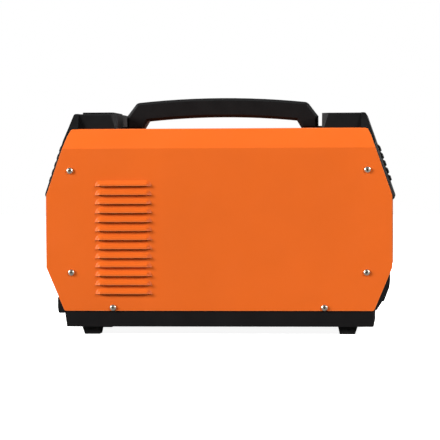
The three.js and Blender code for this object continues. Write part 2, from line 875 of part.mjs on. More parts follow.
function gasOutletBody() {
  const { y, z } = FRONT.gasOutlet;
  const seat = PANEL_FACE + GAP;
  const hex = prismX(hexagon(y, z, 14), seat, seat + 5);
  const stem = turnedX(
    [
      [2, NIPPLE_END],
      [5, NIPPLE_END],
      [5, seat + 8],
      [3.6, seat + 8.6],
      [4.6, seat + 11],
      [3.4, seat + 14],
      [2, seat + 14],
      [2, NIPPLE_END],
    ],
    y,
    z,
    12,
  );
  return hex.subtract(rodX(3, seat - 1, seat + 6, y, z, 8)).add(stem);
}

function torchSocketBody() {
  const { y, z } = FRONT.torchSocket;
  const seat = PANEL_FACE + GAP;
  return turnedX(
    [
      [0, PANEL.inner - 10],
      [6.5, PANEL.inner - 10],
      [6.5, seat],
      [8.8, seat],
      [8.8, seat + 2.5],
      [7.6, seat + 3],
      [7.6, seat + 9],
      [6.4, seat + 9],
      [6.4, seat + 1],
      [0, seat + 1],
    ],
    y,
    z,
  );
}

// rear fittings are drawn at +X too, and turned round with the rear panel
const rearPlace = ({ y, z }) => ({ y: -y, z });

function cableGlandBody() {
  const { y, z } = rearPlace(REAR.cableGland);
  const seat = PANEL_FACE + GAP;
  const bore = 4.5;
  const stem = turnedX(
    [
      [bore, PANEL.inner - 9],
      [9.5, PANEL.inner - 9],
      [9.5, seat],
      [11, seat + 5],
      [10.6, seat + 12],
      [9.4, seat + 15.5],
      [7, seat + 17.5],
      [bore, seat + 17.5],
      [bore, PANEL.inner - 9],
    ],
    y,
    z,
  );
  const hex = prismX(hexagon(y, z, 24), seat, seat + 5);
  const grips = Array.from({ length: 8 }, (_, k) => {
    const angle = (Math.PI * k) / 4;
    return rodX(1.2, seat + 5, seat + 13, y + 11.2 * Math.cos(angle), z + 11.2 * Math.sin(angle), 6);
  });
  return cut(stem.add(hex.subtract(rodX(7, seat - 1, seat + 6, y, z, 12))), grips);
}

function gasInletBody() {
  const { y, z } = rearPlace(REAR.gasInlet);
  const seat = PANEL_FACE + GAP;
  const hex = prismX(hexagon(y, z, 16), seat, seat + 5);
  const stem = turnedX(
    [
      [2.5, NIPPLE_END],
      [6, NIPPLE_END],
      [6, seat + 6],
      [4, seat + 6.5],
      [5, seat + 8.5],
      [4, seat + 11],
      [5, seat + 12.5],
      [4, seat + 15],
      [5, seat + 16.5],
      [3.8, seat + 20],
      [2.5, seat + 20],
      [2.5, NIPPLE_END],
    ],
    y,
    z,
    12,
  );
  return hex.subtract(rodX(4, seat - 1, seat + 6, y, z, 8)).add(stem);
}

// ---- fan -----------------------------------------------------------------

const fanPlace = rearPlace(REAR.fan);
const fanCorners = [-1, 1].flatMap((a) => [-1, 1].map((b) => ({ a: a * 41, b: b * 41 })));

function fanFrameBody() {
  const { y, z } = fanPlace;
  const front = PANEL.inner - GAP;
  const back = front - FAN.depth;
  const block = prismX(
    rounded(rectangle(y - FAN.half, y + FAN.half, z - FAN.half, z + FAN.half, 4)),
    back,
    front,
  );
  const duct = rodX(FAN.bore, back - 1, front + 1, y, z, 28);
  const bolts = fanCorners.map(({ a, b }) => rodX(2.2, back - 1, front + 1, y + a, z + b, 6));
  const motor = rodX(FAN.hub, back, back + 4, y, z, 20);
  const struts = [
    box(back, back + 3, y - FAN.bore - 1, y + FAN.bore + 1, z - 2, z + 2),
    box(back, back + 3, y - 2, y + 2, z - FAN.bore - 1, z + FAN.bore + 1),
  ];
  return cut(block, [duct, ...bolts]).add(joined([motor, ...struts]));
}

function fanRotorBody() {
  const { y, z } = fanPlace;
  const front = PANEL.inner - GAP - 1.5;
  const back = PANEL.inner - GAP - FAN.depth + 5;
  const hub = turnedX(
    [
      [0, back],
      [FAN.hub, back],
      [FAN.hub, front - 2],
      [FAN.hub - 2, front],
      [0, front],
    ],
    y,
    z,
    20,
  );
  const middle = (front + back) / 2;
  const pitch = THREE.MathUtils.degToRad(38);
  const blades = Array.from({ length: FAN.blades }, (_, k) => {
    const reach = FAN.tip - FAN.hub + 2;
    const blade = new THREE.BoxGeometry(1.6, 21, reach);
    blade.rotateZ(pitch);
    blade.translate(0, 0, FAN.hub - 2 + reach / 2);
    blade.rotateX((2 * Math.PI * k) / FAN.blades);
    blade.translate(middle, y, z);
    return solid(blade);
  });
  const swept = rodX(FAN.tip, back + 0.2, front - 0.2, y, z, 28);
  return hub.add(joined(blades).intersect(swept));
}

function fanGuardBody() {
  const { y, z } = fanPlace;
  const seat = PANEL_FACE + GAP;
  const rim = prismX(
    rounded(rectangle(y - FAN.half, y + FAN.half, z - FAN.half, z + FAN.half, 5)),
    seat,
    seat + 2,
  );
  const hole = rodX(42.5, seat - 1, seat + 3, y, z, 20);
  const rings = [35, 27, 19].map((radius) =>
    turnedX(pipe(radius, radius - 1.8, seat, seat + 2), y, z),
  );
  const centre = rodX(11, seat, seat + 2, y, z, 16);
  const spokes = [
    box(seat, seat + 2, y - 43, y + 43, z - 1, z + 1),
    box(seat, seat + 2, y - 1, y + 1, z - 43, z + 43),
  ];
  const bolts = fanCorners.map(({ a, b }) => rodX(2.2, seat - 1, seat + 3, y + a, z + b, 6));
  return cut(rim.subtract(hole).add(joined([...rings, centre, ...spokes])), bolts);
}

// ---- inside the case -----------------------------------------------------

function powerBoardBody() {
  const board = prismZ(rounded(rectangle(-150, 145, -66, 66, 3)), BOARD.bottom, BOARD_TOP);
  const relay = box(128, 141, 30, 52, BOARD_TOP - 0.5, BOARD_TOP + 20);
  const filter = box(-146, -132, -62, -50, BOARD_TOP - 0.5, BOARD_TOP + 18);
  const bridge = box(15, 22, -60, -30, BOARD_TOP - 0.5, BOARD_TOP + 24);
  return joined([board, relay, filter, bridge]);
}

// a comb of fins on an upright plate, from x0 to x1, on the side given by sign
function heatsinkBody(side) {
  const root = 8;
  const plate = 6;
  const tip = 62;
  const fins = 9;
  const low = BOARD_TOP + GAP;
  const pitch = 8.6;
  const points = [[side * root, low]];
  for (let i = 0; i < fins; i += 1) {
    const z = low + i * pitch;
    points.push([side * tip, z]);
    points.push([side * tip, z + 2]);
    if (i === fins - 1) continue;
    points.push([side * (root + plate), z + 2.6]);
    points.push([side * (root + plate), z + pitch - 0.6]);
  }
  points.push([side * root, low + (fins - 1) * pitch + 2]);
  return prismX(points, -100, 8);
}

function capacitorBody(x, y) {
  const low = BOARD_TOP + GAP;
  return turnedZ(
    [
      [0, low],
      [17.5, low],
      [17.5, low + 2],
      [16.9, low + 3],
      [17.5, low + 4],
      [17.5, low + 50],
      [16.5, low + 51],
      [0, low + 51],
    ],
    x,
    y,
  );
}

const CORE = {
  x: 52.5,
  halfLength: 27.5,
  halfDepth: 14,
  leg: 6.5, // half the middle leg
  window: 12,
  bottom: 24.2,
  height: 58,
};

function transformerCoreBody() {
  const { x, halfLength, halfDepth, leg, window, bottom, height } = CORE;
  const block = box(x - halfLength, x + halfLength, -halfDepth, halfDepth, bottom, bottom + height);
  const windows = [-1, 1].map((side) => {
    const near = x + side * leg;
    const far = x + side * (leg + window);
    return box(
      Math.min(near, far),
      Math.max(near, far),
      -halfDepth - 1,
      halfDepth + 1,
      bottom + 9,
      bottom + height - 9,
    );
  });
  return cut(block, windows);
}

function transformerWindingBody() {
  const { x, halfDepth, leg, window, bottom, height } = CORE;
  const reach = leg + window - GAP;
  const plan = (extra) =>
    rounded(rectangle(x - reach + extra, x + reach - extra, -25 + extra, 25 - extra, 6));
  const low = bottom + 9 + GAP;
  const high = bottom + height - 9 - GAP;
  const winding = prismZ(plan(1.5), low, high);
  const flanges = [low, (low + high) / 2 - 0.75, high - 1.5].map((z) => prismZ(plan(0), z, z + 1.5));
  const hole = leg + GAP;
  return joined([winding, ...flanges]).subtract(
    box(x - hole, x + hole, -halfDepth - GAP, halfDepth + GAP, low - 1, high + 1),
  );
}

function chokeBody() {
  const low = BOARD_TOP + GAP;
  return turnedZ(
    [
      [12, low + 3],
      [15, low],
      [25, low],
      [29, low + 4],
      [29, low + 20],
      [25, low + 24],
      [15, low + 24],
      [12, low + 21],
      [12, low + 3],
    ],
    112,
    0,
    20,
  );
}

function highFrequencyCoilBody() {
  const { y, z } = FRONT.negativeSocket;
  const start = 96;
  const turns = 4;
  const pitch = 12;
  const outer = Array.from({ length: turns }, (_, i) => {
    const x = start + 3 + i * pitch;
    return [
      [18, x],
      [21.5, x + 1],
      [21.5, x + pitch - 3],
      [18, x + pitch - 2],
    ];
  }).flat();
  const end = start + 6 + turns * pitch;
  const profile = [
    [8, start],
    [22, start],
    [22, start + 2],
    [18, start + 2.4],
    ...outer,
    [18, end - 2.4],
    [22, end - 2],
    [22, end],
    [8, end],
    [8, start],
  ];
  const body = turnedX(profile, y, z, 14);
  const leg = box(start, end, y - 8, y + 8, BOARD_TOP + GAP, z - 19);
  return body.add(leg);
}

// a bent copper strip from the stub of a socket back over the boards
function busbarBody({ y, z }, reach, height, landing) {
  const thickness = 2.5;
  const near = SOCKET.stubEnd - thickness;
  const strip = prismY(
    [
      [near + thickness, z - 9],
      [near + thickness, height + thickness],
      [reach, height + thickness],
      [reach, landing],
      [reach + thickness, landing],
      [reach + thickness, height],
      [near, height],
      [near, z - 9],
    ],
    y - 8,
    y + 8,
  );
  return strip.subtract(rodX(SOCKET.stub + GAP, near - 1, near + 4, y, z, 8));
}

function controlBoardBody() {
  const { inner, thickness, halfWidth: reach, low, high } = CONTROL_BOARD;
  const front = inner + thickness;
  const board = prismX(rounded(rectangle(-reach, reach, low, high, 2)), inner, front);
  const pots = [FRONT.currentKnob, FRONT.slopeKnob, FRONT.postGasKnob].flatMap(({ y, z }) => [
    rodX(7.5, front - 0.5, PANEL.inner - GAP, y, z, 12),
    rodX(SHAFT.radius, PANEL.inner - 2, SHAFT.front, y, z, 8),
  ]);
  const { y, z, halfWidth, halfHeight } = FRONT.display;
  const digits = box(
    front - 0.5,
    PANEL.inner - GAP,
    y - halfWidth + 3,
    y + halfWidth - 3,
    z - halfHeight + 3,
    z + halfHeight - 3,
  );
  const connector = box(inner - 9, inner + 0.5, -14, 14, 104, 112);
  return joined([board, digits, connector, ...pots]);
}

const VALVE = { x: -137, y: -47, low: 80, port: 92, half: 13 };

function gasValveBody() {
  const { x, y, low, port, half } = VALVE;
  const block = box(x - half, x + half, y - half, y + half, low, port + 12);
  const coil = turnedZ(rod(14, port + 11.5, port + 44), x, y);
  const stem = rodZ(4, port + 43, port + 50, x, y, 12);
  const bracket = box(x - half, x + half, y - 28.5, y - half + 0.5, low, low + 3);
  return joined([block, coil, stem, bracket]);
}

const inletHosePath = [
  [-175.7, -46.5, 75],
  [-171, -46.5, 75],
  [-166, -46.5, 78],
  [-160, -47, 88],
  [-155, -47, 92],
  [VALVE.x - VALVE.half - GAP, VALVE.y, VALVE.port],
];
const outletHosePath = [
  [VALVE.x + VALVE.half + GAP, VALVE.y, VALVE.port],
  [-119, -47, VALVE.port],
  [-113, -46, 95],
  [-104, -40, 105],
  [-92, -28, 114],
  [-70, -12, 119],
  [-30, 0, 121],
  [20, 0, 121],
  [70, 0, 119],
  [105, 0, 110],
  [130, 0, 92],
  [150, 0, 75],
  [164, 0, 69.5],
  [170, 0, FRONT.gasOutlet.z],
  [175.7, 0, FRONT.gasOutlet.z],
];

// ---- assembly ------------------------------------------------------------

const machine = new THREE.Group();
const rearEnd = new THREE.Group();
rearEnd.rotation.z = Math.PI;
machine.add(rearEnd);

function put(name, body, material, parent = machine) {
  const { vertProperties, triVerts } = body.getMesh();
  const geometry = new THREE.BufferGeometry();
  geometry.setAttribute("position", new THREE.BufferAttribute(vertProperties, 3));
  geometry.setIndex(new THREE.BufferAttribute(triVerts, 1));
  const mesh = new THREE.Mesh(geometry, material);
  mesh.name = name;
  parent.add(mesh);
}

put("cover", coverBody(), ORANGE_PAINT);
put("base_tray", trayBody(), BLACK_PAINT);
for (const [name, end] of Object.entries({ front: 1, rear: -1 })) {
  put("foot_" + name + "_left", footBody(end, 1), RUBBER);
  put("foot_" + name + "_right", footBody(end, -1), RUBBER);
}
screwPlaces.forEach(({ side, x, z }, i) => {
  put("cover_screw_" + String(i + 1).padStart(2, "0"), screwBody(side, x, z), ZINC);
});
put("handle", handleBody(), BLACK_PLASTIC);
put("handle_bracket", handleBracketBody(), ZINC);

put("front_frame", frameBody(FRONT_SKIRT, false), BLACK_PLASTIC);
put(
  "front_panel",
  panelPlate([
    panelWindow(FRONT.display, FRONT.display.halfWidth - 2, FRONT.display.halfHeight - 2),
    ...[FRONT.currentKnob, FRONT.slopeKnob, FRONT.postGasKnob].map((at) => panelBore(at, SHAFT.hole)),
    rockerHole(SMALL_ROCKER, FRONT.processRocker),
    rockerHole(SMALL_ROCKER, FRONT.triggerRocker),
    panelBore(FRONT.negativeSocket, SOCKET.neck + GAP),
    panelBore(FRONT.positiveSocket, SOCKET.neck + GAP),
    panelBore(FRONT.torchSocket, 6.5 + GAP),
    panelBore(FRONT.gasOutlet, 5 + GAP),
  ]),
  GREY_PLASTIC,
);
put("display_window", displayWindowBody(), LENS);
put("current_knob", knobBody(FRONT.currentKnob), BLACK_PLASTIC);
put("slope_knob", knobBody(FRONT.slopeKnob), BLACK_PLASTIC);
put("post_gas_knob", knobBody(FRONT.postGasKnob), BLACK_PLASTIC);
for (const [name, place] of [
  ["process", FRONT.processRocker],
  ["trigger", FRONT.triggerRocker],
]) {
  put(name + "_switch_housing", rockerHousingBody(SMALL_ROCKER, place), BLACK_PLASTIC);
  put(name + "_rocker", rockerBody(SMALL_ROCKER, place), BLACK_PLASTIC);
}
for (const [name, place] of [
  ["negative", FRONT.negativeSocket],
  ["positive", FRONT.positiveSocket],
]) {
  put(name + "_socket_body", socketBody(place), BLACK_PLASTIC);
  put(name + "_socket_insert", socketInsertBody(place), BRASS);
}
put("negative_busbar", busbarBody(FRONT.negativeSocket, -20, 112, 96), COPPER);
put("positive_busbar", busbarBody(FRONT.positiveSocket, -20, 112, 96), COPPER);
put("torch_control_socket", torchSocketBody(), ZINC);
put("gas_outlet", gasOutletBody(), BRASS);

put("rear_frame", frameBody(REAR_SKIRT, true), BLACK_PLASTIC, rearEnd);
put(
  "rear_panel",
  panelPlate([
    panelBore(fanPlace, FAN.bore),
    ...fanCorners.map(({ a, b }) => panelBore({ y: fanPlace.y + a, z: fanPlace.z + b }, 2.2)),
    rockerHole(POWER_ROCKER, rearPlace(REAR.powerRocker)),
    panelBore(rearPlace(REAR.cableGland), 9.5 + GAP),
    panelBore(rearPlace(REAR.gasInlet), 6 + GAP),
  ]),
  BLACK_PAINT,
  rearEnd,
);
const powerPlace = rearPlace(REAR.powerRocker);
put("power_switch_housing", rockerHousingBody(POWER_ROCKER, powerPlace), BLACK_PLASTIC, rearEnd);
put("power_rocker", rockerBody(POWER_ROCKER, powerPlace), RED_PLASTIC, rearEnd);
put("cable_gland", cableGlandBody(), BLACK_PLASTIC, rearEnd);
put("gas_inlet", gasInletBody(), BRASS, rearEnd);
put("fan_guard", fanGuardBody(), BLACK_PAINT, rearEnd);
put("fan_frame", fanFrameBody(), BLACK_PLASTIC, rearEnd);
put("fan_rotor", fanRotorBody(), BLACK_PLASTIC, rearEnd);

put("power_board", powerBoardBody(), GREEN_BOARD);
put("control_board", controlBoardBody(), GREEN_BOARD);
put("primary_heatsink", heatsinkBody(-1), ALUMINIUM);
put("output_heatsink", heatsinkBody(1), ALUMINIUM);
put("bus_capacitor_1", capacitorBody(-121, -22), CAN);
put("bus_capacitor_2", capacitorBody(-121, 22), CAN);
put("transformer_core", transformerCoreBody(), FERRITE);
put("transformer_winding", transformerWindingBody(), COPPER);
put("output_choke", chokeBody(), COPPER);
put("high_frequency_coil", highFrequencyCoilBody(), COPPER);
put("gas_valve", gasValveBody(), BRASS);
put("inlet_hose", hose(inletHosePath, 4, 10), HOSE);
put("outlet_hose", hose(outletHosePath, 4, 36), HOSE);

export default machine;
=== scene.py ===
"""TIG welding machine: the looks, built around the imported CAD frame.

Lengths are in millimetres and turned into metres where a mesh is made (MM).
X runs along the case, +X is the front with the controls, and Z is up.
"""

import json
import random
from math import atan2, copysign, cos, degrees, hypot, pi, radians, sin, sqrt, tan

import bmesh
import bpy
from mathutils import Matrix, Vector

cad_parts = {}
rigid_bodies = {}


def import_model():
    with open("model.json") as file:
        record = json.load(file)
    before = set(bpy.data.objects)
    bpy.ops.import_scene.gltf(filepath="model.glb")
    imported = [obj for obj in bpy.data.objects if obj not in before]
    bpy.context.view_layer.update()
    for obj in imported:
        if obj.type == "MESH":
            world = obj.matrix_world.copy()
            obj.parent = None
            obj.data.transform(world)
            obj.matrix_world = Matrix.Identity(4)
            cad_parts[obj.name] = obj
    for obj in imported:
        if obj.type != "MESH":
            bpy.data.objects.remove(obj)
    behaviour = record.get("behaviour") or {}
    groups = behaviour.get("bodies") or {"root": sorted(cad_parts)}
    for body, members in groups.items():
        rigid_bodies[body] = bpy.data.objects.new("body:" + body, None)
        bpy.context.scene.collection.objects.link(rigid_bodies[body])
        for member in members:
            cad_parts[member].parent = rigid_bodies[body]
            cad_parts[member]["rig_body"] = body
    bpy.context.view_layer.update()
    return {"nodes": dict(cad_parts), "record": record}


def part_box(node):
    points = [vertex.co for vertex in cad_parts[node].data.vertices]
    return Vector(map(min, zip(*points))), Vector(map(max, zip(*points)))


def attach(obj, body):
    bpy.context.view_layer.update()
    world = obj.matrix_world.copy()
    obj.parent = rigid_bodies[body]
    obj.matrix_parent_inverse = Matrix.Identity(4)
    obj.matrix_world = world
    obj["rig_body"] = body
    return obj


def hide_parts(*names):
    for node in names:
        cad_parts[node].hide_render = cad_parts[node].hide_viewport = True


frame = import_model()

MM = 0.001
NODES = frame["nodes"]
RANDOM = random.Random(5)


def node_box(name):
    """Lowest and highest corner of a CAD node, in millimetres."""
    low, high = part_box(name)
    return low / MM, high / MM


def placed(name, data):
    """A new object in the scene."""
    made = bpy.data.objects.new(name, data)
    bpy.context.scene.collection.objects.link(made)
    return made


# ---- camera and light

CAMERA_DISTANCE = 2800
CAMERA_TURN = radians(4.6)  # how far the camera stands round towards the front end
CAMERA_HEIGHT = 200
CAMERA_PITCH = radians(-1.285)
CAMERA_ROLL = radians(0.24)
CAMERA_YAW = radians(0.081)
CAMERA_LENS = 184.2


def make_camera():
    camera = placed("camera", bpy.data.cameras.new("camera"))
    camera.data.lens = CAMERA_LENS
    camera.data.clip_end = 50
    x, y = CAMERA_DISTANCE * sin(CAMERA_TURN), -CAMERA_DISTANCE * cos(CAMERA_TURN)
    camera.location = (x * MM, y * MM, CAMERA_HEIGHT * MM)
    camera.rotation_euler = (pi / 2 + CAMERA_PITCH, CAMERA_ROLL, CAMERA_TURN + CAMERA_YAW)
    bpy.context.scene.camera = camera


WHITE = (1, 1, 1, 1)
LIGHT_AIM = Vector((0, 0, 0.13))
# soft boxes, in metres and watts: place, side, power
LIGHTS = {
    "left": ((-4.4, -2.3, 1.85), 1.5, 350),
    "right": ((2.2, -1.9, 1.45), 1.0, 62),
    "left_end": ((-2.4, 0.1, 1.5), 1.0, 22),
    "right_end": ((2.4, 0.1, 1.3), 1.0, 28),
    "top": ((-0.2, 0.5, 2.1), 1.3, 10),
    "back": ((0.8, 2.4, 1.5), 1.4, 40),
}
BACKGROUND_LIGHT = 1.0
FILL_LIGHT = 0.07
FLOOR_SIDE = 14
FLOOR_GREY = (0.86, 0.86, 0.86, 1)
FLOOR_BOUNCE = (0.22, 0.22, 0.22, 1)  # how pale the floor is to everything but the camera
FLOOR_GLOW = {"From_Min": 0.1, "From_Max": 1.6, "To_Min": 0.92, "To_Max": 1.0}


def plug(tree, socket, value):
    """Links another node's output to a socket, or sets it to a plain value."""
    if isinstance(value, bpy.types.NodeSocket):
        tree.links.new(value, socket)
    else:
        socket.default_value = value


def fill(tree, node, **inputs):
    """Sets a node's sockets by name, with _ for a space."""
    for name, value in inputs.items():
        plug(tree, node.inputs[name.replace("_", " ")], value)
    return node


def add_node(tree, kind, **inputs):
    return fill(tree, tree.nodes.new("ShaderNode" + kind), **inputs)


def camera_or_rest(tree, camera, rest):
    """One shader for what the camera sees, and another for the light that it gives off."""
    path = add_node(tree, "LightPath")
    mix = add_node(tree, "MixShader", Fac=path.outputs["Is Camera Ray"])
    plug(tree, mix.inputs[1], rest)
    plug(tree, mix.inputs[2], camera)
    return mix.outputs["Shader"]


def soft_light(name, place, side, power):
    """A square soft box that faces the middle of the machine."""
    data = bpy.data.lights.new(name, "AREA")
    data.size = side
    data.energy = power
    light = placed(name, data)
    light.location = place
    aim = LIGHT_AIM - Vector(place)
    light.rotation_euler = aim.to_track_quat("-Z", "Y").to_euler()


def make_world():
    """White behind the object, and a dimmer even light on it."""
    world = bpy.data.worlds.new("studio")
    bpy.context.scene.world = world
    world.use_nodes = True
    tree = world.node_tree
    tree.nodes.clear()
    seen = add_node(tree, "Background", Color=WHITE, Strength=BACKGROUND_LIGHT)
    lit = add_node(tree, "Background", Color=WHITE, Strength=FILL_LIGHT)
    both = camera_or_rest(tree, seen.outputs["Background"], lit.outputs["Background"])
    add_node(tree, "OutputWorld", Surface=both)


def floor_paint():
    """Pale floor that keeps its brightness out to where it meets the background, and
    throws little light back on the machine."""
    paint = bpy.data.materials.new("floor")
    paint.use_nodes = True
    tree = paint.node_tree
    distance = add_node(tree, "VectorMath", Vector=add_node(tree, "TexCoord").outputs["Object"])
    distance.operation = "LENGTH"
    glow = add_node(tree, "MapRange", Value=distance.outputs["Value"], **FLOOR_GLOW)
    shader = fill(
        tree,
        tree.nodes["Principled BSDF"],
        Base_Color=FLOOR_GREY,
        Roughness=0.9,
        Specular_IOR_Level=0.1,
        Emission_Color=WHITE,
        Emission_Strength=glow.outputs["Result"],
    )
    dim = add_node(tree, "BsdfDiffuse", Color=FLOOR_BOUNCE)
    both = camera_or_rest(tree, shader.outputs["BSDF"], dim.outputs["BSDF"])
    plug(tree, tree.nodes["Material Output"].inputs["Surface"], both)
    return paint


def make_studio():
    make_world()
    for name, (place, side, power) in LIGHTS.items():
        soft_light(name, place, side, power)
    bpy.ops.mesh.primitive_plane_add(size=FLOOR_SIDE)
    floor = bpy.context.object
    floor.name = "floor"
    floor.data.materials.append(floor_paint())
    bpy.context.scene.view_settings.view_transform = "Standard"


# ---- materials


EDGE_RADIUS = 0.0009


class Finish:
    """A principled material with noise in its colour, roughness and bump."""

    def __init__(self, name, metallic=0.0, specular=0.5, coat=0.0, coat_roughness=0.2):
        self.material = bpy.data.materials.new(name)
        self.material.use_nodes = True
        self.tree = self.material.node_tree
        self.shader = self.tree.nodes["Principled BSDF"]
        self.set(Metallic=metallic, Specular_IOR_Level=specular)
        self.set(Coat_Weight=coat, Coat_Roughness=coat_roughness)
        self.place = self.node("TexCoord").outputs["Object"]
        self.height = None

    def node(self, kind, **inputs):
        return add_node(self.tree, kind, **inputs)

    def set(self, **inputs):
        fill(self.tree, self.shader, **inputs)

    def stretched(self, scale):
        """The object's coordinates, stretched for grain that runs one way."""
        return self.node("Mapping", Vector=self.place, Scale=scale).outputs["Vector"]

    def noise(self, scale, detail=3, rough=0.5, vector=None):
        """Noise whose features are about 1/scale metres across."""
        place = vector or self.place
        made = self.node("TexNoise", Vector=place, Scale=scale, Detail=detail, Roughness=rough)
        return made.outputs["Fac"]

    def cells(self, scale, feature="F1"):
        made = self.node("TexVoronoi", Vector=self.place, Scale=scale)
        made.feature = feature
        return made.outputs["Distance"]

    def spread(self, value, low, high, start=0.3, stop=0.7):
        """A value's middle part, spread over low to high."""
        bounds = {"From_Min": start, "From_Max": stop, "To_Min": low, "To_Max": high}
        return self.node("MapRange", Value=value, **bounds).outputs["Result"]

    def mix(self, amount, first, second):
        """A colour between two; amount is 0 for the first and 1 for the second."""
        made = self.node("Mix")
        made.data_type = "RGBA"
        plug(self.tree, made.inputs["Factor"], amount)
        for socket, value in ((made.inputs[6], first), (made.inputs[7], second)):
            linked = isinstance(value, bpy.types.NodeSocket)
            plug(self.tree, socket, value if linked else (*value, 1))
        return made.outputs[2]

    def edges(self):
        """1 along edges and 0 on flat surfaces, from how far a bevel would turn the normal."""
        bevel = self.node("Bevel", Radius=EDGE_RADIUS)
        bevel.samples = 4
        dot = self.node("VectorMath")
        dot.operation = "DOT_PRODUCT"
        plug(self.tree, dot.inputs[0], bevel.outputs["Normal"])
        plug(self.tree, dot.inputs[1], self.node("NewGeometry").outputs["Normal"])
        return self.spread(dot.outputs["Value"], 1, 0, 0.8, 0.98)

    def rubbed(self, body, edge_wear_and_highlight_colour, amount):
        """Colours the surface, with its edges turned towards another colour: edge wear, and where
        that colour is pale, as on the orange paint, a painted edge highlight.
        """
        worn_and_highlit = self.node("Math", Value=self.edges())
        worn_and_highlit.operation = "MULTIPLY"
        worn_and_highlit.inputs[1].default_value = amount
        self.colour(self.mix(worn_and_highlit.outputs[0], body, edge_wear_and_highlight_colour))

    def bump(self, height, distance, strength):
        made = self.node("Bump", Height=height, Distance=distance, Strength=strength)
        if self.height is not None:
            plug(self.tree, made.inputs["Normal"], self.height)
        self.height = made.outputs["Normal"]
        self.set(Normal=self.height)

    def colour(self, value):
        self.set(Base_Color=value)

    def roughness(self, value):
        self.set(Roughness=value)


def tone(colour, factor):
    return tuple(channel * factor for channel in colour)


def powder_coat(name, colour, edge_wear_and_highlight_colour, roughness, edge=0.5):
    """Sprayed and baked paint on sheet metal: fine orange peel, and slightly paler edges."""
    paint = Finish(name, specular=0.16)
    cloud = paint.spread(paint.noise(9, 4), 0, 1)
    body = paint.mix(cloud, tone(colour, 0.965), tone(colour, 1.035))
    speck = paint.spread(paint.noise(2600, 2), 0, 1, 0.62, 0.75)
    body = paint.mix(paint.spread(speck, 0, 0.12, 0, 1), body, tone(colour, 1.5))
    # paler edges: edge wear, and with a pale edge colour also a painted highlight along the edges
    paint.rubbed(body, edge_wear_and_highlight_colour, edge)
    paint.roughness(paint.spread(paint.noise(40, 4), roughness - 0.05, roughness + 0.06))
    paint.bump(paint.noise(5, 2), 0.0006, 0.25)
    paint.bump(paint.noise(1500, 2), 0.00004, 0.5)
    return paint.material


def moulded_plastic(name, colour, roughness, grain=1400, depth=0.00006, coat=0.0):
    """Injection-moulded plastic with a spark-eroded grain and scuffed edges."""
    plastic = Finish(name, specular=0.16, coat=coat)
    cloud = plastic.spread(plastic.noise(14, 5), 0, 1)
    body = plastic.mix(cloud, tone(colour, 0.86), tone(colour, 1.16))
    plastic.rubbed(body, tone(colour, 2.4), 0.45)
    plastic.roughness(plastic.spread(plastic.noise(60, 4), roughness - 0.07, roughness + 0.08))
    plastic.bump(plastic.noise(grain, 3, 0.6), depth, 0.8)
    return plastic.material


def rubber(name, colour):
    """Soft black rubber, a little dusty where it is handled."""
    gum = Finish(name, specular=0.25)
    dust = gum.spread(gum.noise(160, 6, 0.7), 0, 1, 0.5, 0.8)
    gum.colour(gum.mix(gum.spread(dust, 0, 0.35, 0, 1), colour, (0.09, 0.085, 0.08)))
    gum.roughness(gum.spread(gum.noise(90, 4), 0.72, 0.92))
    gum.bump(gum.noise(900, 3), 0.00008, 0.7)
    return gum.material


def plated_steel(name, colour, roughness):
    """Zinc plate: faint cloudy patches and fine scratches."""
    plate = Finish(name, metallic=1.0)
    cloud = plate.spread(plate.noise(220, 5), 0, 1)
    plate.colour(plate.mix(cloud, tone(colour, 0.85), tone(colour, 1.1)))
    scratch = plate.noise(500, 4, 0.7, plate.stretched((1, 8, 1)))
    plate.roughness(plate.spread(scratch, roughness - 0.06, roughness + 0.12))
    plate.bump(scratch, 0.00002, 0.4)
    return plate.material


def turned_metal(name, colour, roughness, stain):
    """Brass or copper off the lathe: rings from the tool, and stains."""
    metal = Finish(name, metallic=1.0)
    patch = metal.spread(metal.noise(130, 6, 0.65), 0, 1, 0.45, 0.8)
    metal.colour(metal.mix(metal.spread(patch, 0, 0.5, 0, 1), colour, stain))
    rings = metal.noise(1, 2, 0.5, metal.stretched((4200, 30, 30)))
    metal.roughness(metal.spread(patch, roughness, roughness + 0.18, 0, 1))
    metal.bump(rings, 0.000012, 0.5)
    return metal.material


def extruded_aluminium(name, colour):
    """Extruded bar with drawn lines along its length."""
    metal = Finish(name, metallic=1.0)
    lines = metal.noise(1, 3, 0.6, metal.stretched((25, 1800, 1800)))
    metal.colour(metal.mix(metal.spread(lines, 0, 1), tone(colour, 0.85), tone(colour, 1.1)))
    metal.roughness(metal.spread(lines, 0.32, 0.5))
    metal.bump(lines, 0.00003, 0.5)
    return metal.material


def circuit_board(name, mask, copper):
    """Solder mask over tracks, with a sheen."""
    board = Finish(name, coat=0.4, coat_roughness=0.15)
    track = board.spread(board.cells(90, "DISTANCE_TO_EDGE"), 1, 0, 0.02, 0.05)
    pad = board.spread(board.cells(240), 1, 0, 0.16, 0.2)
    body = board.mix(track, mask, tone(mask, 2.1))
    board.colour(board.mix(board.spread(pad, 0, 0.75, 0, 1), body, copper))
    board.roughness(board.spread(board.noise(70), 0.35, 0.5))
    board.bump(track, 0.00004, 0.6)
    return board.material


def ferrite(name, colour):
    """Sintered dark ceramic, pitted and matt."""
    core = Finish(name, specular=0.3)
    pits = core.spread(core.noise(420, 6), 0, 1)
    core.colour(core.mix(pits, tone(colour, 0.7), tone(colour, 1.5)))
    core.roughness(core.spread(core.noise(200), 0.55, 0.75))
    core.bump(core.noise(800, 5, 0.7), 0.0001, 0.6)
    return core.material


def wound_wire(name, colour, groove_shade, spacing):
    """Enamelled wire lying side by side up a coil, with painted shade in the grooves between the
    turns; spacing in millimetres.
    """
    wire = Finish(name, metallic=0.8, coat=0.5, coat_roughness=0.1)
    wave = wire.node("TexWave", Vector=wire.place, Scale=pi / (10 * spacing * MM))
    wave.bands_direction = "Z"
    wire.colour(wire.mix(wire.spread(wave.outputs["Fac"], 0, 1, 0.05, 0.4), groove_shade, colour))
    wire.roughness(wire.spread(wire.noise(300), 0.25, 0.4))
    wire.bump(wave.outputs["Fac"], 0.0005, 0.9)
    return wire.material


